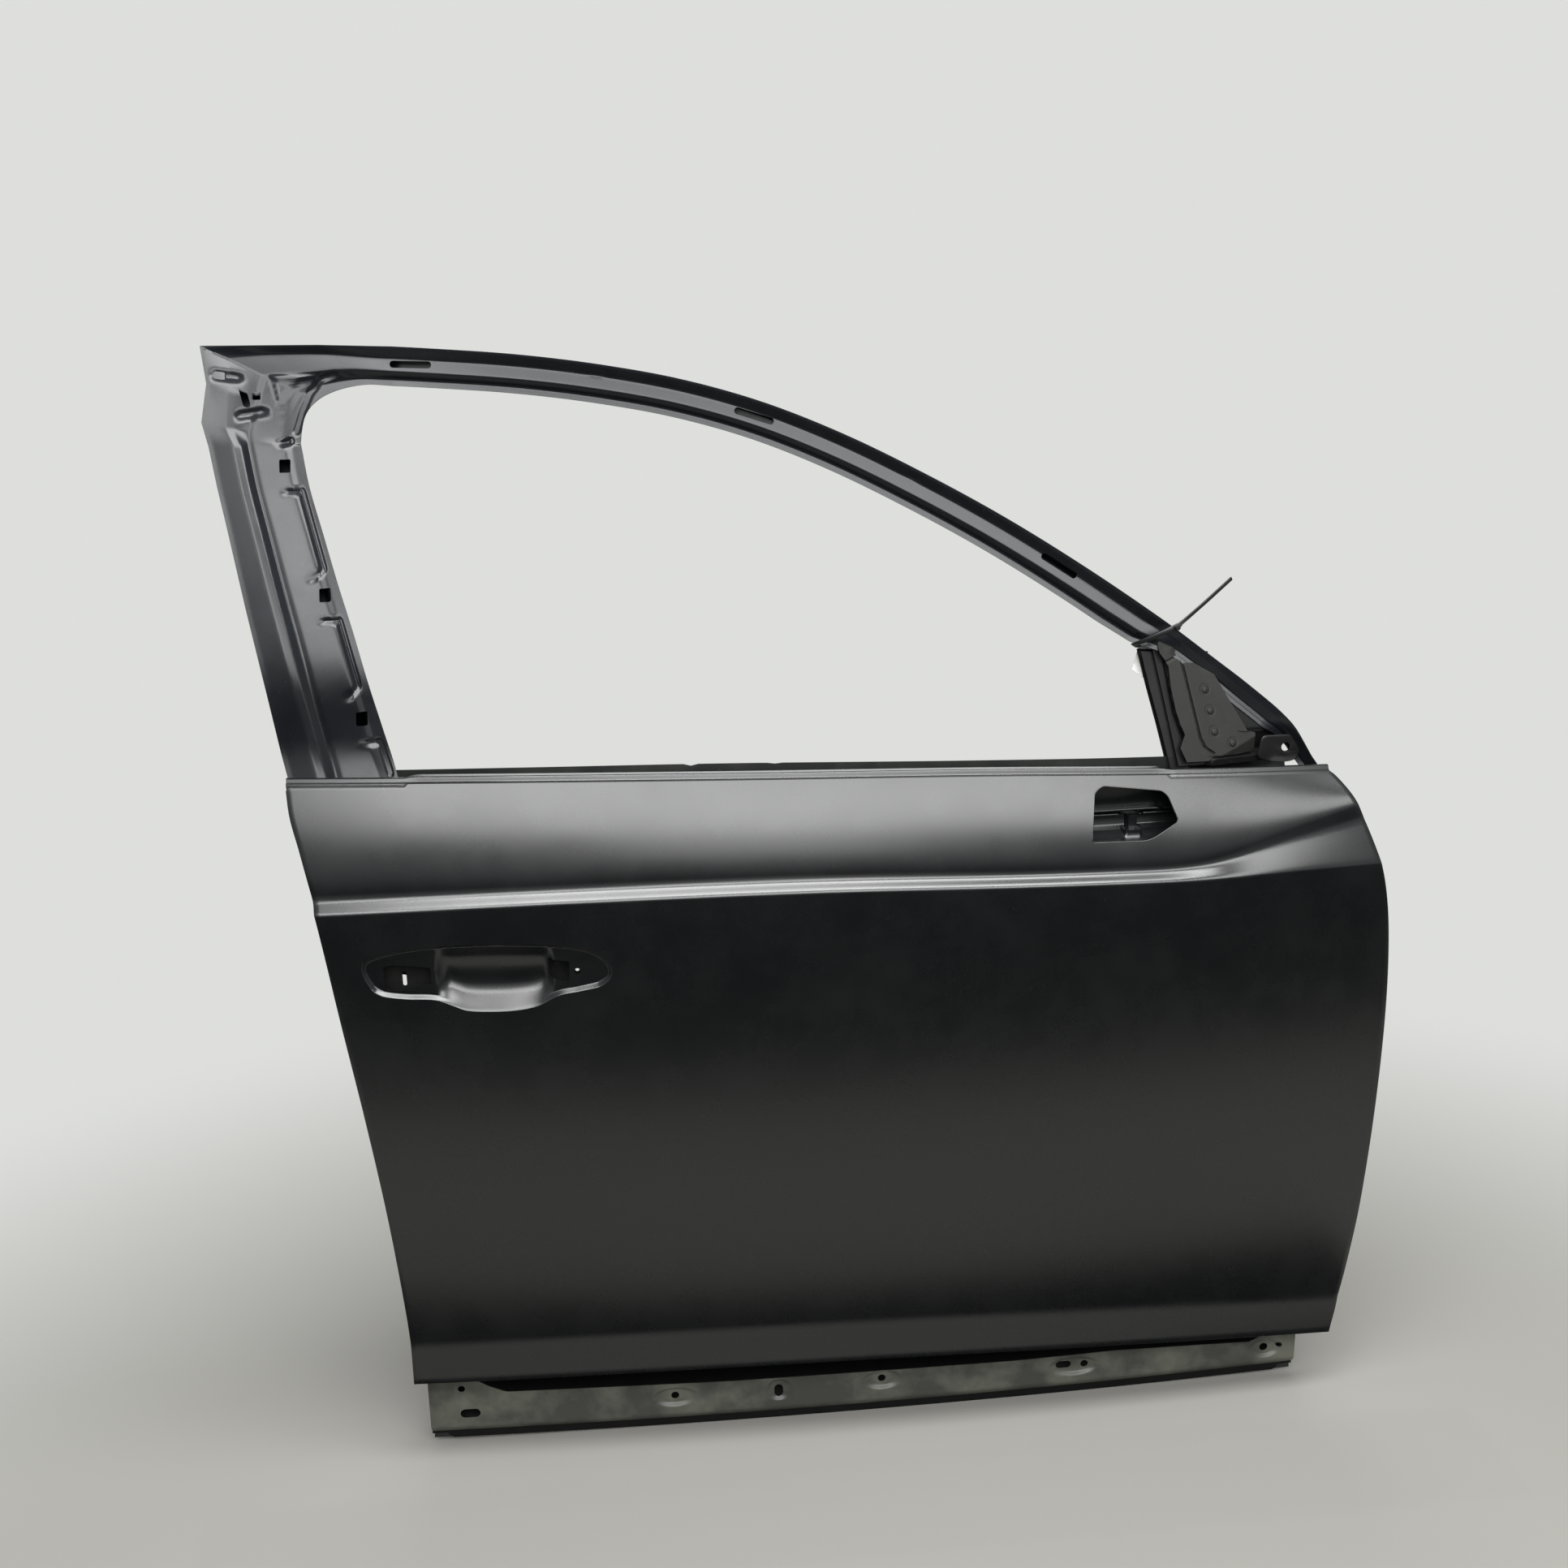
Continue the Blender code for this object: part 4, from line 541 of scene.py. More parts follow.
def prism(bm, outline, base, u_axis, v_axis, depth_axis, depth):
    """A closed prism: an outline in one plane drawn out along depth_axis."""
    base, u_axis, v_axis, depth_axis = (np.array(a) for a in (base, u_axis, v_axis, depth_axis))
    rings = [[bm.verts.new(row_place(base + u_axis * u + v_axis * v + depth_axis * offset))
              for u, v in outline] for offset in (0.0, depth)]
    faces = [bm.faces.new(rings[0]), bm.faces.new(list(reversed(rings[1])))]
    for i in range(len(outline)):
        j = (i + 1) % len(outline)
        faces.append(bm.faces.new((rings[0][j], rings[0][i], rings[1][i], rings[1][j])))
    bmesh.ops.recalc_face_normals(bm, faces=faces)


def cut_through(thing, shapes, operation="DIFFERENCE"):
    """Pierce or trim a sheet; each shape is (outline, base, u axis, v axis, depth axis, depth)."""
    for shape in shapes:
        bm = bmesh.new()
        prism(bm, *shape)
        mesh = bpy.data.meshes.new("punch")
        bm.to_mesh(mesh)
        bm.free()
        punch = bpy.data.objects.new("punch", mesh)
        bpy.context.scene.collection.objects.link(punch)
        hole = thing.modifiers.new("hole", "BOOLEAN")
        hole.operation = operation
        hole.solver = "EXACT"
        hole.object = punch
        settle(thing)
        bpy.data.objects.remove(punch, do_unlink=True)


def along_y(outline, low, high):
    return (outline, (0, low, 0), (1, 0, 0), (0, 0, 1), (0, 1, 0), high - low)


def settle(thing, angle=None):
    """Keep the modifiers' result as the mesh, smooth up to an angle in degrees."""
    view = bpy.context.evaluated_depsgraph_get()
    view.update()
    made = bpy.data.meshes.new_from_object(thing.evaluated_get(view), depsgraph=view)
    thing.modifiers.clear()
    thing.data = made
    if angle is not None:
        made.shade_smooth()
        made.set_sharp_from_angle(angle=math.radians(angle))


def tidy_normals(thing):
    """Turn every face outwards."""
    bm = bmesh.new()
    bm.from_mesh(thing.data)
    bmesh.ops.recalc_face_normals(bm, faces=bm.faces[:])
    bm.to_mesh(thing.data)
    bm.free()


def join(thing, *others):
    """Take other meshes into one piece."""
    bm = bmesh.new()
    bm.from_mesh(thing.data)
    for other in others:
        bm.from_mesh(other.data)
        bpy.data.objects.remove(other, do_unlink=True)
    bm.to_mesh(thing.data)
    bm.free()


def dress(thing, finish, slot, *nodes, smooth=None):
    """Settle a piece, give it its finish, the CAD nodes it stands for and its place."""
    if smooth is not None:
        settle(thing, smooth)
    thing.data.materials.clear()
    thing.data.materials.append(bpy.data.materials[finish])
    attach(thing, "root")
    if nodes:
        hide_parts(*nodes)


# Colours and finishes

def linear(colour):
    """sRGB hex to linear red, green and blue."""
    parts = [int(colour[i:i + 2], 16) / 255 for i in (0, 2, 4)]
    return tuple(c / 12.92 if c <= 0.04045 else ((c + 0.055) / 1.055) ** 2.4 for c in parts)


def add_node(tree, kind, links=(), **settings):
    """One node; settings are attributes, or inputs where the name starts with in_."""
    node = tree.nodes.new(kind)
    for key, value in settings.items():
        if key.startswith("in_"):
            node.inputs[key[3:].replace("_", " ")].default_value = value
        else:
            setattr(node, key, value)
    for source, target in links:
        tree.links.new(source, node.inputs[target])
    return node


def new_finish(name):
    """An empty material with its tree, shader and object coordinates in metres."""
    made = bpy.data.materials.new(name)
    made.use_nodes = True
    tree = made.node_tree
    shader = tree.nodes["Principled BSDF"]
    place = add_node(tree, "ShaderNodeTexCoord")
    return made, tree, shader, place.outputs["Object"]


def noise(tree, place, size, detail, **settings):
    """Procedural noise with its feature size in millimetres."""
    made = add_node(tree, "ShaderNodeTexNoise", [(place, "Vector")], in_Scale=1 / (size * MM),
                    in_Detail=detail, **settings)
    return made.outputs["Fac"]


def ranged(tree, value, **limits):
    made = add_node(tree, "ShaderNodeMapRange", [(value, "Value")], **limits)
    return made.outputs["Result"]


def blend(tree, share, base, over):
    """Two colours, or a colour over a socket, mixed by a share."""
    made = add_node(tree, "ShaderNodeMix", [(share, "Factor")], data_type="RGBA")
    if isinstance(base, tuple):
        made.inputs["A"].default_value = (*base, 1)
    else:
        tree.links.new(base, made.inputs["A"])
    made.inputs["B"].default_value = (*over, 1)
    return made.outputs["Result"]


def dented(tree, shader, height, strength, depth):
    """Fine relief, its depth in millimetres."""
    made = add_node(tree, "ShaderNodeBump", [(height, "Height")], in_Strength=strength,
                    in_Distance=depth * MM)
    tree.links.new(made.outputs["Normal"], shader.inputs["Normal"])


def coated_sheet(name, colour, worn, roughness, peel, peel_depth, cloud_size, rub, spots, film):
    """Dip-primed pressed steel: a satin film with orange peel, cloudy gloss and rubbed patches."""
    made, tree, shader, place = new_finish(name)
    cloud = noise(tree, place, cloud_size, 5.0, in_Roughness=0.6)
    rubbed = ranged(tree, cloud, in_From_Min=0.42, in_From_Max=0.68, in_To_Max=rub)
    specks = noise(tree, place, DUST_SIZE, 2.0)
    dust = ranged(tree, specks, in_From_Min=0.70, in_From_Max=0.78, in_To_Max=spots)
    coat = blend(tree, dust, blend(tree, rubbed, tuple(colour), worn), linear(DUST_COLOUR))
    tree.links.new(coat, shader.inputs["Base Color"])
    gloss = ranged(tree, cloud, in_From_Min=0.3, in_From_Max=0.7, in_To_Min=roughness - 0.02,
                   in_To_Max=roughness + 0.03)
    tree.links.new(gloss, shader.inputs["Roughness"])
    dented(tree, shader, noise(tree, place, peel, 2.0), 0.25, peel_depth)
    shader.inputs["IOR"].default_value = film


class DoorSizes(bpy.types.PropertyGroup):
    """Sizes that change how the pressed detail looks."""

    line_radius: bpy.props.FloatProperty(
        name="Line radius", description="Rounding of the skin's character lines, in millimetres",
        default=1.8, min=0.2, max=4.0)
    recess_wall: bpy.props.FloatProperty(
        name="Recess bevel",
        description="Width of the bevel round the handle recess, in millimetres",
        default=3.8, min=1.0, max=8.0)
    groove_depth: bpy.props.FloatProperty(
        name="Groove depth",
        description="Depth of the grooves pressed into the pillar, in millimetres",
        default=2.4, min=0.2, max=4.0)
    dimple_depth: bpy.props.FloatProperty(
        name="Dimple depth",
        description="Depth of the oval dimples in the sill band, in millimetres",
        default=4.0, min=0.2, max=5.0)
    tie_width: bpy.props.FloatProperty(
        name="Tie width", description="Width of the cable tie's strip, in metres",
        default=0.005, min=0.002, max=0.008, unit="LENGTH")


class DoorColours(bpy.types.PropertyGroup):
    """Colours of the finishes and the stage."""

    skin: bpy.props.FloatVectorProperty(
        name="Skin primer", description="Primer on the door skin", subtype="COLOR",
        default=linear("08090a"))
    frame: bpy.props.FloatVectorProperty(
        name="Frame primer", description="Primer on the window frame", subtype="COLOR",
        default=linear("131518"))
    inner: bpy.props.FloatVectorProperty(
        name="Inner primer", description="Primer on the inner panel", subtype="COLOR",
        default=linear("151716"))
    sill: bpy.props.FloatVectorProperty(
        name="Sill primer", description="Rubbed grey-green primer on the sill band",
        subtype="COLOR", default=linear("343531"))
    bracket: bpy.props.FloatVectorProperty(
        name="Bracket primer", description="Primer on the brackets and reinforcements",
        subtype="COLOR", default=linear("131413"))
    gusset: bpy.props.FloatVectorProperty(
        name="Gusset primer", description="Thin grey-green primer on the corner gusset",
        subtype="COLOR", default=linear("181916"))
    # This colour also stands as painted shade down the sill band's trough
    channel: bpy.props.FloatVectorProperty(
        name="Channel primer", description="Primer on the glass channels", subtype="COLOR",
        default=linear("0f0f0f"))
    zinc: bpy.props.FloatVectorProperty(
        name="Zinc plate", description="Zinc plating on the weld nuts", subtype="COLOR",
        default=linear("b4b2aa"))
    floor: bpy.props.FloatVectorProperty(
        name="Floor", description="Pale studio floor", subtype="COLOR", default=linear("83827d"))
    backdrop: bpy.props.FloatVectorProperty(
        name="Backdrop", description="Pale background behind the door", subtype="COLOR",
        default=linear("dedfdc"))


class DOOR_OT_finishes(bpy.types.Operator):
    """Mix the finishes of the sheets, nuts, tie and label"""

    bl_idname = "door.finishes"
    bl_label = "Finishes"

    def execute(self, context):
        paint = context.scene.door_colours
        # Electro-dip primer on cold rolled steel: smooth satin black with a faint peel
        coated_sheet("dip_primer_skin", paint.skin, linear("0c0d0e"), 0.27, 2.2, 0.012, 60, 0.5,
                     0.02, 1.65)
        # The same primer over deep drawn steel: a little bluer, scuffed by handling
        coated_sheet("dip_primer_frame", paint.frame, linear("16191d"), 0.24, 2.0, 0.03, 28, 0.6,
                     0.05, 1.42)
        # Primer with storage dust and rubbed grey patches
        coated_sheet("dusty_primer_inner", paint.inner, linear("272824"), 0.42, 2.4, 0.1, 45, 0.6,
                     0.1, 1.45)
        # The same primer rubbed through by handling: grey-green clouds on the sill band
        coated_sheet("scuffed_primer_sill", paint.sill, linear("5a5b51"), 0.4, 2.4, 0.08, 60, 0.9,
                     0.08, 1.5)
        # Primer on hidden brackets: duller, with small dry patches
        coated_sheet("dip_primer_brackets", paint.bracket, linear("1a1a19"), 0.42, 2.0, 0.08, 20,
                     0.6, 0.06, 1.35)
        # Thin primer that lets the grey steel through
        coated_sheet("thin_primer_gusset", paint.gusset, linear("1f201d"), 0.45, 1.8, 0.06, 14,
                     0.6, 0.05, 1.26)
        # Primer on rolled channels and unlit recesses: nearly black and without sheen; down the
        # sill band's trough it is painted shade
        coated_sheet("channel_primer_and_painted_shade", paint.channel, linear("131313"), 0.42, 2.0, 0.08, 20,
                     0.6, 0.06, 1.2)
        self.zinc(paint.zinc)
        self.nylon()
        self.card()
        return {"FINISHED"}

    def zinc(self, colour):
        """Zinc plated steel: fine turning marks and a cloudy passivated film."""
        made, tree, shader, place = new_finish("zinc_plated_steel")
        tint = blend(tree, noise(tree, place, 4, 4.0), tuple(colour), linear("8f8c7e"))
        tree.links.new(tint, shader.inputs["Base Color"])
        shader.inputs["Metallic"].default_value = 1.0
        shader.inputs["Roughness"].default_value = 0.38

    def nylon(self):
        """Moulded black nylon: soft sheen and a barely visible drawn grain."""
        made, tree, shader, place = new_finish("moulded_nylon")
        shader.inputs["Base Color"].default_value = (*linear("121212"), 1)
        grain = noise(tree, place, 0.8, 2.0)
        gloss = ranged(tree, grain, in_To_Min=0.38, in_To_Max=0.52)
        tree.links.new(gloss, shader.inputs["Roughness"])
        dented(tree, shader, grain, 0.2, 0.05)
        shader.inputs["IOR"].default_value = 1.53

    def card(self):
        """Uncoated label card: matt white with short paper fibres."""
        made, tree, shader, place = new_finish("label_card")
        fibre = noise(tree, place, 1.2, 5.0)
        tint = blend(tree, fibre, linear("cfcfcc"), linear("c2c1bd"))
        tree.links.new(tint, shader.inputs["Base Color"])
        shader.inputs["Roughness"].default_value = 0.85
        dented(tree, shader, fibre, 0.15, 0.05)


class DOOR_OT_skin(bpy.types.Operator):
    """Press the door skin: crease, shoulder, handle recess, belt fold, hem and mirror opening"""

    bl_idname = "door.skin"
    bl_label = "Door skin"

    def cup_depth(self, x, z, within, wall):
        """Depth of the handle cup: a bevel, a flat floor and a scooped bowl between the wells."""
        low, high = smooth_curve(LIP_LINE, x), smooth_curve(BROW_LINE, x)
        bevel = FLOOR_DROP * np.interp(within / wall, (0, 0.1, 0.9, 1.1), (0, 0.06, 0.94, 1))
        scoop = smooth_curve(BOWL_PROFILE, np.clip((z - low) / (high - wall - low), 0, 1))
        scoop = np.minimum(scoop, bevel + 40 * np.clip((high - z - 0.4 * wall) / 40, 0, 1))
        (r0, r1), (f0, f1) = BOWL_SIDES
        rear = np.sin(0.5 * np.pi * np.clip((x - r0) / (r1 - r0), 0, 1))
        front = np.sin(0.5 * np.pi * np.clip((f0 - x) / (f0 - f1), 0, 1))
        return mix(bevel, scoop, rear * front)

    def spread(self, length, step, wall):
        """Shares along one side of the cup, closest beside the bevels."""
        edge = np.arange(14) * wall / 9
        middle = np.arange(edge[-1] + step, length - edge[-1] - step / 2, step)
        return np.concatenate((edge, middle, length - edge[::-1])) / length

    def cup(self, wall):
        """The handle cup as a grid between its four edges."""
        u, v = self.spread(238, 1.6, wall), self.spread(52, 1.1, wall)
        low_x = mix(LIP_LINE[0][0], LIP_LINE[-1][0], u)
        high_x = mix(BROW_LINE[0][0], BROW_LINE[-1][0], u)
        low = np.stack((low_x, smooth_curve(LIP_LINE, low_x)), axis=-1)
        high = np.stack((high_x, smooth_curve(BROW_LINE, high_x)), axis=-1)
        rear, front = (np.stack([smooth_curve([(i / 3, p[k]) for i, p in enumerate(line)], v)
                                 for k in (0, 1)], axis=-1) for line in (REAR_LINE, FRONT_LINE))
        across, up = u[None, :, None], v[:, None, None]
        grid = mix(low[None], high[None], up) + mix(rear[:, None], front[:, None], across)
        grid -= mix(mix(low[0], high[0], up), mix(low[-1], high[-1], up), across)
        closed = [tuple(p) for p in [*low, *front[1:-1], *high[::-1], *rear[::-1][1:-1]]]
        x, z = grid[..., 0], grid[..., 1]
        within = np.clip(depth_within(x, z, closed), 0, None)
        within[0] = within[-1] = within[:, 0] = within[:, -1] = 0
        y = skin_y(x, z) + self.cup_depth(x, z, within, wall) + BOX_CLEARANCE + 0.03
        piece = sheet_piece("handle_cup", stacked(x, y, z), THIN_SHEET)
        settle(piece)
        punches = [round_outline(hole, 1.5, 2) for hole in (HANDLE_REAR_HOLE, HANDLE_FRONT_HOLE)]
        punches.append(circle(*HANDLE_PIN_HOLE))
        cut_through(piece, [along_y(shape, *SKIN_CUT) for shape in punches])
        return piece, closed

    def bead(self, outline, radius):
        """A fine rolled edge round an opening in the skin."""
        count = len(outline)
        vertices = []
        for i, (x, z) in enumerate(outline):
            run = np.array(outline[(i + 1) % count]) - np.array(outline[i - 1])
            out = np.array((run[1], -run[0])) / np.hypot(*run) * radius
            y = skin_y(x, z) + BEAD_SINK
            for k in range(BEAD_SIDES):
                turn = math.tau * k / BEAD_SIDES
                vertices.append((x + out[0] * math.cos(turn), y - radius * math.sin(turn),
                                 z + out[1] * math.cos(turn)))
        faces = []
        for i in range(count):
            a, b = i * BEAD_SIDES, (i + 1) % count * BEAD_SIDES
            for k in range(BEAD_SIDES):
                j = (k + 1) % BEAD_SIDES
                faces.append((a + k, b + k, b + j, a + j))
        ring = mesh_object("bead", vertices, faces)
        tidy_normals(ring)
        return ring

    def execute(self, context):
        sizes = context.scene.door_sizes
        radius = sizes.line_radius
        shares = np.concatenate(([0.0011, 0.006], np.linspace(0.014, 0.984, 150), [0.994, 0.9989]))
        # Levels between the skin's lines, closest beside the crease and the facet
        low = [mix(0, 1, i / 6) for i in range(6)]
        body = [1 + 0.9935 * i / 70 for i in range(71)] + [1.9965, 1.9985]
        step = [2 + i / 7 for i in range(7)] + [3 + i / 4 for i in range(4)]
        shoulder = [4.0, 4.01, 4.025, 4.05] + [mix(4.09, 5, i / 18) for i in range(19)]
        levels = np.array(low + body + step + shoulder)
        x = np.tile(mix(SKIN_REAR[0][1], SKIN_FRONT[0][1], shares), (len(levels), 1))
        for _ in range(8):
            lines = np.array(skin_lines(x))
            z = np.empty_like(x)
            for r, level in enumerate(levels):
                k = min(int(level), 4)
                z[r] = mix(lines[k, r], lines[k + 1, r], level - k)
            x = mix(smooth_curve(SKIN_REAR, z), smooth_curve(SKIN_FRONT, z), shares)
        y = skin_face(x, z, radius) + BOX_CLEARANCE
        grid = stacked(x, y, z)
        rim = grid[-1]
        fold = rounded([(a[0], a[1], b[0], b[1]) for a, b in zip(BELT_FOLD, BELT_LIP)], 1.6, 3)
        along = rim[:, 0]
        zone = ease((along - SLOT_ZONE[0] + 6) / 12) * ease((SLOT_ZONE[1] + 6 - along) / 12)
        rows = [*grid]
        for back, up, lip_back, lip_up in fold[1:]:
            place = rim.copy()
            place[:, 1] += mix(lip_back, back, zone)
            place[:, 2] += mix(lip_up, up, zone)
            rows.append(place)
        self.panel(np.array(rows), len(levels), sizes.recess_wall)
        return {"FINISHED"}

    def panel(self, rows, skin_rows, wall):
        count = rows.shape[1]
        vertices = list(rows.reshape(-1, 3))
        faces = grid_faces(rows.shape[0], count)
        # The hem runs down the rear edge, along the bottom and up the front edge
        edge = [(r, 0) for r in range(skin_rows - 2, 0, -1)] + [(0, c) for c in range(count)]
        edge += [(r, count - 1) for r in range(1, skin_rows - 1)]
        previous = [r * count + c for r, c in edge]
        for out, deep in HEM_ROLL:
            ring = []
            for r, c in edge:
                place = rows[r, c].copy()
                ahead = rows[min(r + 1, skin_rows - 1), c] - rows[max(r - 1, 0), c]
                lean = ahead[1] / ahead[2]
                side = -1 if c == 0 else 1 if c == count - 1 else 0
                place[0] += side * out
                place[1] += deep + (0 if r else -lean * out)
                place[2] -= lean * deep + (out if r == 0 else 0)
                ring.append(len(vertices))
                vertices.append(place)
            for i in range(len(edge) - 1):
                faces.append((previous[i], ring[i], ring[i + 1], previous[i + 1]))
            previous = ring
        skin = mesh_object("door_skin", vertices, faces)
        thicken(skin, SHEET * 0.9)
        settle(skin)
        cup, outline = self.cup(wall)
        mirror = round_outline(MIRROR_HOLE, 4)
        cut_through(skin, [along_y(shape, *SKIN_CUT) for shape in (outline, mirror)])
        join(skin, cup, self.bead(mirror, BEAD_RADIUS))
        dress(skin, "dip_primer_skin", "skin_coat", "outer_panel", smooth=42)


class DOOR_OT_window_frame(bpy.types.Operator):
    """Press the window frame's outer stamping: pillar grooves, clip slots and corner emboss"""

    bl_idname = "door.window_frame"
    bl_label = "Window frame"

    def stations(self):
        """Outer and inner edge points and the pillar and front shares, close together."""
        made = []
        for z in np.arange(700, 1090, PILLAR_STEP):
            outer = (held_curve(PILLAR_REAR, z), z)
            made.append((outer, (smooth_curve(PILLAR_WINDOW, z), z), 1.0, 0.0))
        last = (made[-1][0], made[-1][1])
        first = self.header_station(HEADER_ENDS[0])
        outers = [last[0]] + CORNER_OUTER + [first[0]]
        inners = [last[1]] + CORNER_INNER + [first[1]]
        ticks = range(len(outers))
        for i in range(1, CORNER_CUTS * (len(outers) - 1)):
            t = i / CORNER_CUTS
            outer = tuple(held_curve(list(zip(ticks, [p[a] for p in outers])), t) for a in (0, 1))
            inner = tuple(smooth_curve(list(zip(ticks, [p[a] for p in inners])), t) for a in (0, 1))
            made.append((outer, inner, 1.0 - t / (len(outers) - 1), 0.0))
        for x in np.arange(HEADER_ENDS[0], HEADER_ENDS[1] + 1, 5):
            made.append(self.header_station(x))
        tip = made[-1]
        for i in range(1, 9):
            outer, inner = (tuple(mix(np.array(tip[k]), np.array(LEG_END[k]), i / 8))
                            for k in (0, 1))
            made.append((outer, inner, 0.0, 1.0))
        return made

    def header_station(self, x):
        z = smooth_curve(HEADER_TOP, x)
        slope = (smooth_curve(HEADER_TOP, x + 4) - smooth_curve(HEADER_TOP, x - 4)) / 8
        length = math.hypot(1, slope)
        width = held_curve(HEADER_WIDTH, x)
        front = held_curve([(FRONT_BLEND[0], 0), (FRONT_BLEND[1], 1)], x)
        return (x, z), (x + slope / length * width, z - width / length), 0.0, front

    def relief(self, x, z, depth):
        """Grooves, dimples and the corner emboss, as depth below the plain stamping."""
        down = np.zeros_like(x)
        for path, width, share in FRAME_GROOVES:
            down += groove(x, z, path, width, share * depth)
        down -= 0.9 * depth * ease(depth_within(x, z, FRAME_EMBOSS) / 4)
        for u, v, half_x, half_z in HEADER_DENTS:
            down += 0.6 * depth * ease(1 - np.hypot((x - u) / half_x, (z - v) / half_z))
        return down

    def corners(self, station):
        """Corner points of the outer section as shares of its width and depths."""
        outer, inner, pillar, front = station
        narrow = min(1.0, HEADER_FULL / math.dist(outer, inner))
        made = []
        sections = zip(HEADER_SECTION, PILLAR_SECTION, FRONT_SECTION)
        for index, (header, post, tip) in enumerate(sections):
            share = header[0] * (narrow if index < 4 else 1.0)
            depth = mix(header[1], tip[1], front)
            made.append((mix(share, post[0], pillar), mix(depth, post[1], pillar)))
        return made

    def row(self, station, corners, radius):
        """Places of one rounded section across the frame."""
        outer, inner = station[:2]
        width = math.dist(outer, inner)
        line = rounded([(share * width, deep) for share, deep in corners], radius, 3)
        section = []
        for index, run in enumerate(zip(line, line[1:])):
            section += subdivided(run, 1 if index % 4 else FLAT_CUTS)[:-1]
        made = []
        for across, deep in section + [line[-1]]:
            share = across / width
            y = mix(frame_y(*outer), frame_y(*inner), share) + deep
            made.append((mix(outer[0], inner[0], share), y, mix(outer[1], inner[1], share)))
        return made

    def inner_stamping(self):
        """The stamping that closes the frame to a box, flange to flange with the outer one."""
        rows = []
        for station in self.stations():
            outer, inner, pillar, front = station
            tip = held_curve([(TIP_BLEND[0], 0), (TIP_BLEND[1], 1)], outer[0])
            section = self.corners(station)
            made = []
            for header, post in zip(INNER_HEADER_SECTION, INNER_PILLAR_SECTION):
                share = mix(header[0], post[0], pillar)
                depth = mix(header[1], post[1], pillar) * mix(1.0, TIP_BOX_SHARE, tip)
                if header[1] == 0:
                    depth = held_curve(section, share) + SHEET + 2 * FIT_GAP + TIP_SLACK * tip
                    depth += (SHEET + FIT_GAP) * front * (share > 0.5)
                made.append((share, depth))
            rows.append(self.row(station, made, 3.0))
        stamping = sheet_piece("frame_box", rows)
        dress(stamping, "dip_primer_frame", "frame_coat", "window_frame_inner", smooth=38)

    def execute(self, context):
        depth = context.scene.door_sizes.groove_depth
        rows = [self.row(station, self.corners(station), 1.6) for station in self.stations()]
        grid = np.array(rows, float)
        grid[..., 1] += self.relief(grid[..., 0], grid[..., 2], depth)
        stamping = sheet_piece("window_frame", grid)
        settle(stamping)
        shapes = []
        half_x, half_z = (side / 2 for side in PILLAR_SQUARE)
        for x, z in PILLAR_SQUARES:
            y = frame_y(x, z)
            outline = round_box((x - half_x, z - half_z), (x + half_x, z + half_z), 1.2, 2)
            shapes.append(along_y(outline, y + FRAME_CUT[0], y + FRAME_CUT[1]))
        half_x, half_z = (side / 2 for side in HEADER_SLOT)
        outline = round_box((-half_x, -half_z), (half_x, half_z), half_z - 0.1)
        for x, z, tilt in HEADER_SLOTS:
            turn = math.radians(tilt)
            shapes.append((outline, (x, frame_y(x, z) + FRAME_CUT[0], z),
                           (math.cos(turn), 0, math.sin(turn)),
                           (-math.sin(turn), 0, math.cos(turn)), (0, 1, 0),
                           FRAME_CUT[1] - FRAME_CUT[0]))
        x, z = KEYHOLE
        shapes.append((round_box((-3.6, -12.5), (3.6, 12.5), 3.4), (x, frame_y(x, z) - 6, z),
                       (1, 0, 0.0), (-0.25, 0, 0.97), (0, 1, 0), 14))
        y = frame_y(-94, 1137)
        shapes.append(along_y(round_box(*CORNER_SQUARE, 1, 2), y - 6, y + 10))
        cut_through(stamping, shapes)
        dress(stamping, "dip_primer_frame", "frame_coat", "window_frame_outer", smooth=38)
        self.inner_stamping()
        return {"FINISHED"}


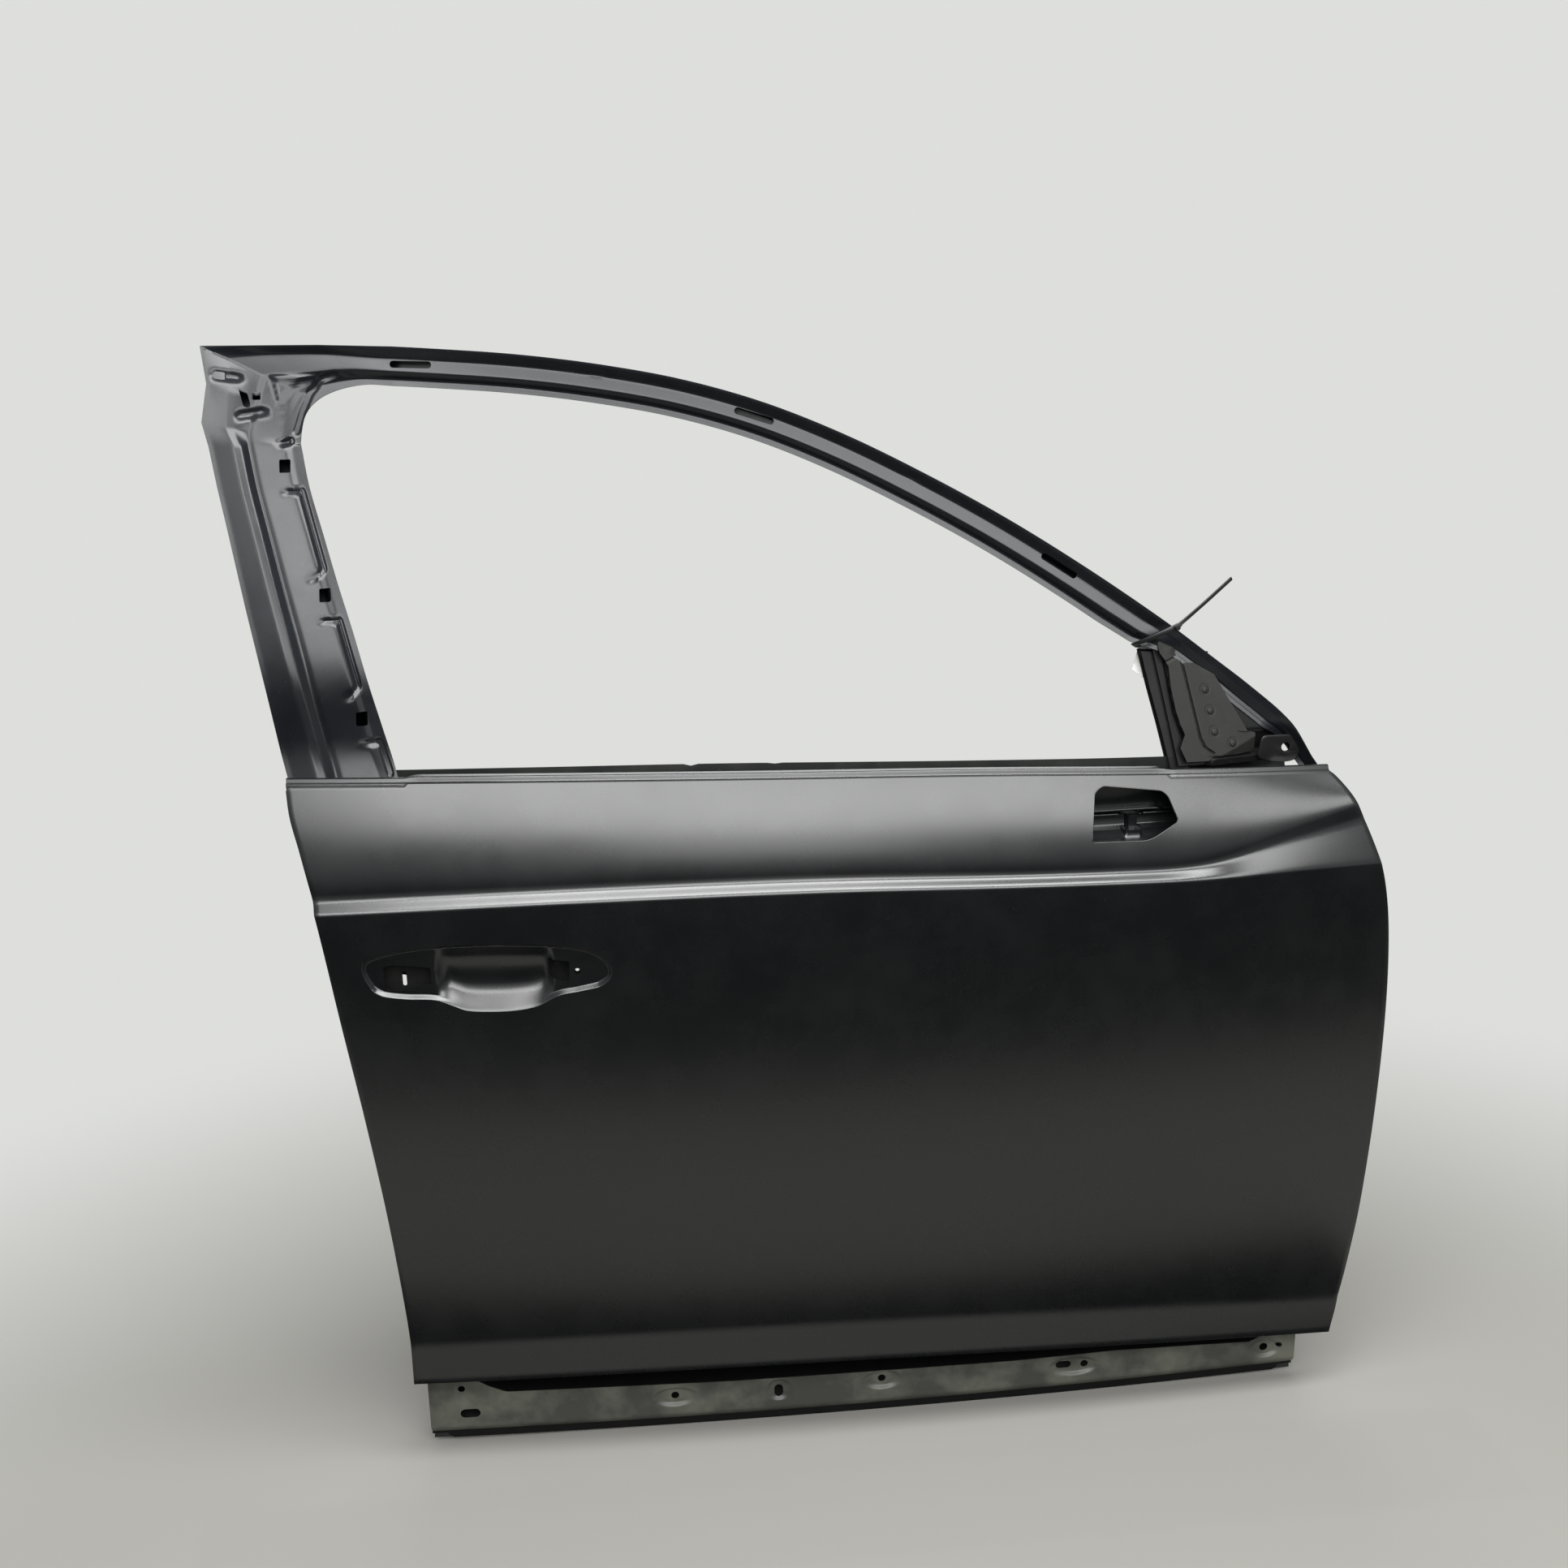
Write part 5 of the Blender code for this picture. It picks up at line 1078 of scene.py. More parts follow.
class DOOR_OT_sill_band(bpy.types.Operator):
    """Press the sill band: step, oval dimples round the clip holes and weld lip"""

    bl_idname = "door.sill_band"
    bl_label = "Sill band"

    def paint_trough_shade_and_dark_lip(self, mesh):
        """Painted shade: near-black primer down the trough under the skin's hem, where shadow
        falls, and on the weld lip.
        """
        mesh.materials.append(bpy.data.materials["channel_primer_and_painted_shade"])
        for face in mesh.polygons:
            x, y, z = np.array(face.center) / MM + DATUM
            # Faces in the trough above its foot take the near-black primer as painted shade
            trough = y > sill_y(x) + 1.2 and z > held_curve(SILL_TROUGH, x)
            if trough or z < smooth_curve(SILL_LOWER, x) + 1:
                face.material_index = 1

    def column(self, share):
        """Places down the band from its weld lip to behind the skin's hem."""
        x = mix(SILL_ENDS[0], SILL_ENDS[1], share)
        y = sill_y(x)
        bottom = smooth_curve(SILL_LOWER, x)
        edge_x = mix(SILL_EDGE[0], SILL_EDGE[1], share)
        edge_z = smooth_curve(SKIN_BOTTOM, edge_x)
        edge_y = skin_y(edge_x, edge_z)
        step_x = min(max(edge_x, SILL_TOP_ENDS[0]), SILL_TOP_ENDS[1])
        z = edge_z + HEM_WIDTH + 9
        drop = LIP_DROP * mix(0.3, 1, between(x, SILL_LIP_ENDS[0], SILL_LIP_ENDS[1], 6))
        corners = [(x, y + LIP_Y, bottom - drop), (x, y + LIP_Y, bottom),
                   (x, y, bottom + LIP_RISE), (x, y, z - 7), (step_x, y - 7, z),
                   (edge_x, edge_y + 4.6, edge_z + HEM_WIDTH + 4),
                   (edge_x, edge_y + 2.6, edge_z + 1.7)]
        line = rounded(corners, 3.0, 4)
        # Rows on the upright face follow the trough's foot
        start, end = line[10], line[11]
        foot = np.clip(held_curve(SILL_TROUGH, x), start[2] + 4, end[2] - 8)
        knots = [mix(start, end, (up - start[2]) / (end[2] - start[2]))
                 for up in (foot, foot + TROUGH_ROUND)]
        upright = []
        for low, high, cuts in zip([start, *knots], [*knots, end], UPRIGHT_CUTS):
            upright += subdivided([low, high], cuts)[:-1]
        return subdivided(line[:11], 2)[:-1] + upright + subdivided(line[11:], 2)

    def execute(self, context):
        depth = context.scene.door_sizes.dimple_depth
        columns = [self.column(i / SILL_COLUMNS) for i in range(SILL_COLUMNS + 1)]
        grid = np.array(columns, float).transpose(1, 0, 2)
        x, z = grid[..., 0], grid[..., 2]
        for u, v, half_x, half_z in SILL_DIMPLES:
            oval = np.hypot((x - u) / half_x, (z - v) / half_z)
            grid[..., 1] += depth * ease((1 - oval) * 2.6) * (grid[..., 1] > 60)
        foot = held_curve(SILL_TROUGH, x)
        trough = ease((z - foot) / TROUGH_ROUND)
        trough = trough * ease((x - SILL_TROUGH[0][0]) / 6) * ease((SILL_TROUGH[-1][0] - x) / 6)
        trough *= ease((104 - z) / 8)
        grid[..., 1] += trough * (SILL_TROUGH_DEPTH - 0.13 * (z - foot))
        band = sheet_piece("sill_band", grid)
        settle(band)
        shapes = [(circle(u, v, radius), u) for u, v, radius in SILL_ROUND_HOLES]
        for u, v, wide, high in SILL_SLOTS:
            low, top = (u - wide / 2, v - high / 2), (u + wide / 2, v + high / 2)
            shapes.append((round_box(low, top, min(wide, high) / 2 - 0.2), u))
        cut_through(band, [along_y(shape, sill_y(u) - 6, sill_y(u) + 8) for shape, u in shapes])
        dress(band, "scuffed_primer_sill", "inner_coat", "sill_panel", smooth=38)
        # Painted shade: near-black primer down the trough under the skin's hem, and on the weld lip
        self.paint_trough_shade_and_dark_lip(band.data)
        return {"FINISHED"}


class DOOR_OT_front_corner(bpy.types.Operator):
    """Build the window's front corner: gusset, rivets, header floor and the holed tab"""

    bl_idname = "door.front_corner"
    bl_label = "Front corner"

    def gusset(self):
        heights = np.concatenate((np.linspace(753, 782, 34), np.linspace(783, 876.5, 84)))
        x, z = side_grid(heights, GUSSET_REAR, GUSSET_FRONT, np.linspace(0, 1, 88))
        crease = held_curve([(p[1], p[0]) for p in GUSSET_CREASE[::-1]], z)
        right = ease((x - crease) / 2.0) * ease((852 - z) / 3)
        down = -1.1 * right
        down += groove(x, z, GUSSET_CREASE, 1.3, 1.6)
        down += groove(x, z, [(844.5, 851), (852, 853)], 1.2, 1.2)
        edge = held_curve(FACET_EDGE, z)
        facet = (x - edge) / (held_curve(FACET_END, z) - edge)
        down -= 2.4 * np.clip(facet, 0, 1) * (z > 781) * ease((851 - z) / 8)
        down += 0.9 * ease((z - 852) / 4) * ease((x - 838) / 6)
        down += 0.9 * ease(1 - np.hypot(x - 831.1, z - 870.7) / 2.2)
        down += groove(x, z, GUSSET_FOLD, 1.6, 1.2)
        down -= 0.8 * ease(1 - np.hypot(x - 833, z - 866) / 9)
        for u, v in RIVETS:
            down += 0.35 * ease(1 - np.abs(np.hypot(x - u, z - v) - 4.8) / 1.2)
        y = frame_y(x, z) + GUSSET_DEPTH + down
        plate = sheet_piece("gusset", stacked(x, y, z))
        dress(plate, "thin_primer_gusset", "gusset_coat", "corner_gusset", smooth=40)

    def rivets(self):
        lean = math.atan(FRAME_LEAN)
        turns = [math.tau * i / RIVET_SIDES for i in range(RIVET_SIDES)]
        for index, (u, v) in enumerate(RIVETS):
            base = frame_y(u, v) + GUSSET_DEPTH - 2.9
            vertices = []
            for radius, back in RIVET_PROFILE:
                for turn in turns:
                    rise = radius * math.sin(turn)
                    vertices.append((u + radius * math.cos(turn),
                                     base + back + rise * math.sin(lean),
                                     v + rise * math.cos(lean)))
            grid = grid_faces(len(RIVET_PROFILE), RIVET_SIDES, wrap=True)
            last = len(vertices) - 1
            faces = [tuple(range(RIVET_SIDES))] + [face[::-1] for face in grid]
            faces.append(tuple(range(last, last - RIVET_SIDES, -1)))
            head = mesh_object("rivet_%d" % (index + 1), vertices, faces)
            tidy_normals(head)
            head.data.shade_smooth()
            dress(head, "thin_primer_gusset", "gusset_coat", "gusset_rivet_%d" % (index + 1))

    def header_floor(self):
        heights = np.linspace(779, 861, 50)
        x, z = side_grid(heights, FACET_END, FLOOR_EDGE, np.linspace(0, 1, 30), (-3.5, 3))
        y = frame_y(x, z) + 11.2 + 1.6 * ease((783 - z) / 3)
        floor = sheet_piece("header_floor", stacked(x, y, z), THIN_SHEET)
        dress(floor, "channel_primer_and_painted_shade", "frame_coat", smooth=40)

    def backing(self):
        """The dark web behind the gusset, with the ledge along its foot."""
        heights = np.concatenate((np.linspace(748, 762, 24), np.linspace(763, 876, 70)))
        x, z = side_grid(heights, BACKING_REAR, BACKING_FRONT, np.linspace(0, 1, 60))
        y = frame_y(x, z) + BACKING_DEPTH - 8.5 * ease((760 - z) / 6) * ease((x - 862) / 8)
        y += groove(x, z, [(846, 770), (836, 800), (829, 850)], 3, 3)
        web = sheet_piece("corner_web", stacked(x, y, z), THIN_SHEET)
        settle(web)
        y = frame_y(*WEB_HOLE[:2])
        cut_through(web, [along_y(circle(*WEB_HOLE), y - 5, y + 30)])
        dress(web, "channel_primer_and_painted_shade", "frame_coat", smooth=40)

    def tab(self):
        outline = round_outline(TAB_OUTLINE, 6, 5)
        centre = np.mean(np.array(outline), axis=0)
        rings = []
        for share, lift in TAB_RINGS:
            ring = []
            for u, v in outline:
                x, z = mix(centre[0], u, share), mix(centre[1], v, share)
                away = np.hypot(x - TAB_HOLE[0], z - TAB_HOLE[1])
                raised = 0.9 * ease(1 - np.abs(away - 7.5) / 2.5)
                ring.append((x, frame_y(x, z) + TAB_DEPTH + lift - raised, z))
            rings.append(ring)
        vertices = [place for ring in rings for place in ring]
        faces = [face[::-1] for face in grid_faces(len(rings), len(outline), wrap=True)]
        faces.append(tuple(range(len(vertices) - len(outline), len(vertices))))
        tab = mesh_object("holed_tab", vertices, faces)
        tidy_normals(tab)
        thicken(tab, SHEET)
        settle(tab)
        y = frame_y(*TAB_HOLE[:2])
        cut_through(tab, [along_y(circle(*TAB_HOLE), y - 6, y + 22)])
        dress(tab, "dip_primer_brackets", "bracket_coat", "quarter_bracket", smooth=40)

    def execute(self, context):
        self.gusset()
        self.rivets()
        self.header_floor()
        self.backing()
        self.tab()
        return {"FINISHED"}


class DOOR_OT_mirror_pocket(bpy.types.Operator):
    """Press the mirror's pocket, with its lips and post, and the plate behind the handle cup"""

    bl_idname = "door.mirror_pocket"
    bl_label = "Mirror and handle carriers"

    def execute(self, context):
        section = subdivided(rounded(POCKET_SECTION, 0.7, 2), 2)
        x = np.linspace(POCKET_ENDS[0], POCKET_ENDS[1], 90)
        rows = []
        for z, back in section:
            face = np.array([skin_y(u, min(z, POCKET_SECTION[1][0])) for u in x])
            depth = np.full_like(x, back)
            if 701.2 < z < 704.9:
                depth = mix(depth, 37.0, between(x, *POCKET_LIP_GAP, 3))
            if 706 < z < 709.6:
                depth = mix(depth, 37.0, between(x, 809, 815, 2))
            rear, front, bottom, top = POCKET_POST
            if bottom < z < top:
                depth = np.minimum(depth, mix(depth, 29.0, between(x, rear, front, 2.5)))
            if 681 < z < 690:
                depth = mix(depth, np.minimum(depth, 20.0), between(x, 770, 791, 3))
            rows.append(stacked(x, face + SHEET + 2 * FIT_GAP + depth, np.full_like(x, z)))
        pocket = sheet_piece("mirror_pocket", rows, THIN_SHEET)
        dress(pocket, "dip_primer_skin", "bracket_coat", "mirror_bracket", smooth=40)
        self.handle_plate()
        return {"FINISHED"}

    def handle_plate(self):
        """The plate behind the handle cup, swaged round its edge and slotted for the rods."""
        low, high = HANDLE_PLATE
        x, z = np.meshgrid(np.linspace(low[0] - 2, high[0] + 2, 130),
                           np.linspace(low[1] - 2, high[1] + 2, 44))
        u, v, back = HANDLE_PLATE_AT
        border = round_box((low[0] + 9, low[1] + 9), (high[0] - 9, high[1] - 9), 8)
        y = skin_y(u, v) + back + groove(x, z, border + border[:1], 4, 2)
        plate = sheet_piece("handle_plate", stacked(x, y, z))
        settle(plate)
        cut_through(plate, [along_y(round_box(low, high, 12), *PLATE_CUT)], "INTERSECT")
        cut_through(plate, [along_y(round_box(*slot, 1.9), *PLATE_CUT) for slot in HANDLE_GLINTS])
        dress(plate, "dip_primer_brackets", "bracket_coat", "handle_reinforcement", smooth=40)


class DOOR_OT_tie_and_label(bpy.types.Operator):
    """Lay the cable tie round the header, with its head and tail, and the blank label behind it"""

    bl_idname = "door.tie_and_label"
    bl_label = "Tie and label"

    def on_frame(self, x, z, depth):
        return np.array((x, frame_y(x, z) + depth, z))

    def strip(self, path, width, sides):
        """A flat strip swept along places; sides are its width directions at both ends."""
        line = [self.on_frame(*p) for p in path]
        ticks = list(range(len(line)))
        places = []
        for t in np.linspace(0, len(line) - 1, 8 * (len(line) - 1) + 1):
            places.append([smooth_curve([(i, p[a]) for i, p in zip(ticks, line)], t)
                           for a in range(3)])
        places = np.array(places)
        vertices = []
        for i, place in enumerate(places):
            ahead = places[min(i + 1, len(places) - 1)] - places[max(i - 1, 0)]
            ahead /= np.linalg.norm(ahead)
            side = mix(np.array(sides[0]), np.array(sides[1]), ease(3 * i / len(places)))
            side -= ahead * side.dot(ahead)
            side /= np.linalg.norm(side)
            face = np.cross(ahead, side)
            for u, v in TIE_SECTION:
                vertices.append(place + side * (u * width / 2) + face * (v * TIE_THICK / 2))
        faces = grid_faces(len(places), 8, wrap=True)
        faces += [tuple(range(7, -1, -1)), tuple(range(len(vertices) - 8, len(vertices)))]
        made = mesh_object("strip", vertices, faces)
        tidy_normals(made)
        return made

    def execute(self, context):
        width = context.scene.door_sizes.tie_width / MM
        along = np.array((0.83, 0, -0.55))
        loop = self.strip(TIE_LOOP, width, (along, along))
        tail = self.strip(TIE_TAIL, width * 0.85, (along, (0.58, 0.3, -0.75)))
        head = bmesh.new()
        bmesh.ops.create_cube(head, size=1.0)
        bmesh.ops.bevel(head, geom=head.edges[:], offset=0.16, segments=2, affect="EDGES",
                        profile=0.6)
        across = np.array((0.81, 0.05, 0.58))
        out = np.cross(along, across)
        base = self.on_frame(*TIE_LOOP[0]) - (0, 1.6, 0)
        for vertex in head.verts:
            u, v, w = vertex.co
            vertex.co = row_place(base + along * u * TIE_HEAD[0] + across * v * TIE_HEAD[1]
                                  + out * w * TIE_HEAD[2])
        mesh = bpy.data.meshes.new("head")
        head.to_mesh(mesh)
        head.free()
        block = bpy.data.objects.new("head", mesh)
        bpy.context.scene.collection.objects.link(block)
        tidy_normals(block)
        loop.name = "cable_tie"
        join(loop, tail, block)
        loop.data.shade_smooth()
        loop.data.set_sharp_from_angle(angle=math.radians(40))
        dress(loop, "moulded_nylon", "frame_coat")
        self.label()
        return {"FINISHED"}

    def label(self):
        """A blank card hanging from the tie, slightly curled."""
        wide_way, long_way = (np.array(way) for way in LABEL_WAYS)
        rows = []
        for j in range(24):
            row = []
            for i in range(18):
                u, v = LABEL_SIZE[0] * i / 17, LABEL_SIZE[1] * j / 23
                x, z = np.array(LABEL_CORNER[:2]) + wide_way * u + long_way * v
                curl = 1.4 * math.sin(math.pi * j / 23) + 0.7 * math.sin(math.pi * i / 17)
                row.append(self.on_frame(x, z, LABEL_CORNER[2] + curl))
            rows.append(row)
        card = sheet_piece("blank_label", rows, 0.4)
        dress(card, "label_card", "frame_coat", smooth=40)


class DOOR_OT_inner_panel(bpy.types.Operator):
    """Draw the inner panel: flange, walls, face with rimmed openings, shelf and belt flange"""

    bl_idname = "door.inner_panel"
    bl_label = "Inner panel"

    def rim(self, x, z):
        """Beads round the openings and three stiffening ribs."""
        down = np.zeros_like(x)
        for shape in (SERVICE_OPENING, FRONT_ACCESS, REAR_ACCESS):
            low, high = (shape[0] - 9, shape[1] - 9), (shape[2] + 9, shape[3] + 9)
            outline = round_box(low, high, shape[4] + 6, 4)
            down -= 3.5 * ease(1 - reach(x, z, outline, True) / 9)
        away = np.hypot(x - SPEAKER_OPENING[0], z - SPEAKER_OPENING[1])
        down -= 3.5 * ease(1 - np.abs(away - 90) / 10)
        for path in INNER_RIBS:
            down += groove(x, z, path, 12, 5)
        return down

    def inboard_y(self, z):
        if z <= FLOOR_Z:
            return TRAY_Y - 10
        if z <= SHOULDER_Z:
            return TRAY_Y
        return mix(TRAY_Y, SHELF_Y, (z - SHOULDER_Z) / (SHELF_Z - SHOULDER_Z))

    def side(self, z, rear):
        """Flange edge, wall foot and wall top of one row, as (x, y, z)."""
        line = SKIN_REAR if rear else SKIN_FRONT
        wall = held_curve(REAR_WALL if rear else FRONT_WALL, z)
        sign = 1 if rear else -1
        sill_edge = SILL_ENDS[0] + 1 if rear else SILL_ENDS[1] - 1
        skin_edge = smooth_curve(line, z) + sign * EDGE_CLEARANCE
        above = ease((z - (112 if rear else 86)) / 16)
        edge = mix(sill_edge, skin_edge, above)
        low = (sill_y(edge), sill_y(wall))
        high = (skin_y(skin_edge, z), skin_y(wall, z)) if above > 0 else low
        foot = [mix(a, b, above) + FLANGE_DEPTH for a, b in zip(low, high)]
        deep = z if z <= SHOULDER_Z else mix(SHOULDER_Z, z, SHOULDER_SHARE)
        inner_y = self.inboard_y(deep)
        return [(edge, foot[0], z), (wall, foot[1], z), (wall, inner_y, deep)]

    def row(self, z_rear, z_front):
        rear = self.side(z_rear, True)
        front = self.side(z_front, False)
        return rounded(rear + front[::-1], DRAW_RADIUS, 5)

    def execute(self, context):
        rows = []
        for i in range(110):
            share = i / 109
            z_rear, z_front = mix(FLOOR_Z - 4, 764, share), mix(FLOOR_Z - 4, 744, share)
            line = self.row(z_rear, z_front)
            middle = len(line) // 2
            across = subdivided(line[middle - 1:middle + 1], 130)[1:-1]
            rows.append(line[:middle] + across + line[middle:])
        foot = []
        for place in rows[0]:
            share = (place[0] - SILL_ENDS[0]) / (SILL_ENDS[1] - SILL_ENDS[0])
            x = mix(SILL_ENDS[0] + 1, SILL_ENDS[1] - 1, min(max(share, 0), 1))
            foot.append((x, sill_y(x) + LIP_Y + FLANGE_DEPTH,
                         smooth_curve(SILL_LOWER, x) - LIP_DROP))
        lift = [(x, y, z + LIP_DROP + LIP_RISE + 4) for x, y, z in foot]
        grid = np.array([foot, lift] + [[tuple(p) for p in row] for row in rows], float)
        x, z = grid[..., 0], grid[..., 2]
        flat = (np.abs(grid[..., 1] - TRAY_Y) < 1) & (z < SHOULDER_Z - 6)
        grid[..., 1] += np.where(flat, self.rim(x, z), 0)
        tray = sheet_piece("inner_shell", grid)
        settle(tray)
        self.pierce(tray)
        shelf = self.shelf(grid[-1])
        join(tray, shelf)
        dress(tray, "dusty_primer_inner", "inner_coat", "inner_panel", smooth=40)
        return {"FINISHED"}

    def shelf(self, top):
        """Shelf and belt flange above the tray, up to the seats of the frame's legs."""
        columns = []
        for x, y, z in top[(top[:, 0] > -50) & (top[:, 0] < 968) & (top[:, 1] > 100)]:
            flange = smooth_curve(INNER_BELT_TOP, x)
            low = flange - BELT_FLANGE_DROP
            if INNER_SLOT[0] < x < INNER_SLOT[1]:
                depths = [INNER_BELT_Y + plan(x)] * 2
                notches = sum(ease(1 - abs(x - u) / 5) for u in BELT_NOTCHES)
                high = flange - 3.0 * notches
            else:
                high = flange + CORNER_TOP
                seat = REAR_SEAT
                if x > INNER_SLOT[1]:
                    seat = FRONT_SEAT
                    high = min(high, smooth_curve(HEADER_TOP, x) - CORNER_CLEARANCE)
                if x > TIP_CORNER_X:
                    high = TIP_CORNER_Z
                depths = [frame_y(x, height) + seat for height in (low, high)]
            corners = [(x, y, z), (x, SHELF_Y, SHELF_Z), (x, depths[0], low), (x, depths[1], high)]
            columns.append(subdivided(rounded(corners, 5.0, 4), 2))
        grid = np.array(columns, float).transpose(1, 0, 2)
        shelf = sheet_piece("shelf", grid)
        settle(shelf)
        return shelf

    def pierce(self, tray):
        low, high = TRAY_Y - 60, TRAY_Y + 20
        shapes = [along_y(round_box(shape[:2], shape[2:4], shape[4], 8), low, high)
                  for shape in (SERVICE_OPENING, FRONT_ACCESS, REAR_ACCESS)]
        shapes.append(along_y(circle(*SPEAKER_OPENING, 48), low, high))
        shapes.append(along_y(circle(*SMALL_HOLE), low, high))
        wall = held_curve(FRONT_WALL, HINGE_HEIGHTS[0])
        axes = ((0, 1, 0), (0, 0, 1), (1, 0, 0))
        for height in HINGE_HEIGHTS:
            for side in (-1, 1):
                hole = circle(HINGE_Y, height + side * HINGE_BOLT_SPACING / 2, HINGE_BOLT_RADIUS)
                shapes.append((hole, (wall - 15, 0, 0), *axes, 30))
        u, v = STRAP_HOLE[0] / 2, STRAP_HOLE[1] / 2
        strap = round_box((HINGE_Y - u, STRAP_Z - v), (HINGE_Y + u, STRAP_Z + v), 5)
        shapes.append((strap, (wall - 15, 0, 0), *axes, 30))
        x = held_curve(REAR_WALL, LATCH_Z)
        slope = held_curve(REAR_WALL, LATCH_Z + 1) - x
        up = np.array((slope, 0, 1)) / math.hypot(slope, 1)
        inward = np.array((up[2], 0, -up[0]))
        half = (LATCH_SLOT[0] / 2, LATCH_SLOT[1] / 2)
        base = np.array((x, LATCH_Y, LATCH_Z)) - inward * 15
        shapes.append((round_box((-half[0], -half[1]), half, 6), base, (0, 1, 0), up, inward, 30))
        cut_through(tray, shapes)


class DOOR_OT_carried(bpy.types.Operator):
    """Give the remaining pressings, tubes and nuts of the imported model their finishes"""

    bl_idname = "door.carried"
    bl_label = "Carried pieces"

    def execute(self, context):
        finishes = {"inner_coat": "dusty_primer_inner", "frame_coat": "dip_primer_frame",
                    "bracket_coat": "dip_primer_brackets", "gusset_coat": "thin_primer_gusset",
                    "channel_coat": "channel_primer_and_painted_shade", "nut_metal": "zinc_plated_steel",
                    "skin_coat": "dip_primer_skin"}
        slots = {}
        for entry in frame["record"].get("materials", []):
            for node in entry.get("nodes", []):
                slots[node] = entry["slot"]
        for name, node in frame["nodes"].items():
            if node.hide_render:
                continue
            slot = slots.get(name) or node.data.materials[0].name
            node.data.materials.clear()
            node.data.materials.append(bpy.data.materials[finishes[slot]])
        return {"FINISHED"}


# Lamps as name, place, aim, size and power, in metres and watts
LIGHTS = (("softbox_front", (-0.35, -2.3, 1.66), (-0.35, 0.0, 0.25), (3.3, 1.3), 98),
          ("softbox_pillar", (-2.05, -2.0, 2.45), (-1.1, 0.0, 0.5), (0.9, 0.75), 19),
          ("softbox_low", (-0.5, -2.15, 0.7), (-0.5, 0.0, 0.15), (0.9, 0.6), 5),
          ("softbox_top", (-0.4, -0.75, 2.25), (-0.5, -0.05, 0.15), (2.4, 0.8), 88),
          ("fill_back", (-0.2, 2.8, 2.0), (-0.5, 0.0, 0.1), (2.4, 1.4), 32))
PILLAR_FLAG = ((-1.3, -0.92), -0.1, (0.32, 0.44))
FLOOR_HALF = 9
RUN_OUT_CENTRE = (-0.5, -0.7)
RUN_OUT = (0.95, 2.1)
WORLD_STRENGTH = 0.42
CAMERA_PLACE = (-0.7784, -1.5742, 0.6494)
CAMERA_TURN = (-15.15, 6.0, -0.99)
SENSOR = 36.0
LENS = SENSOR * 1958 / 1932


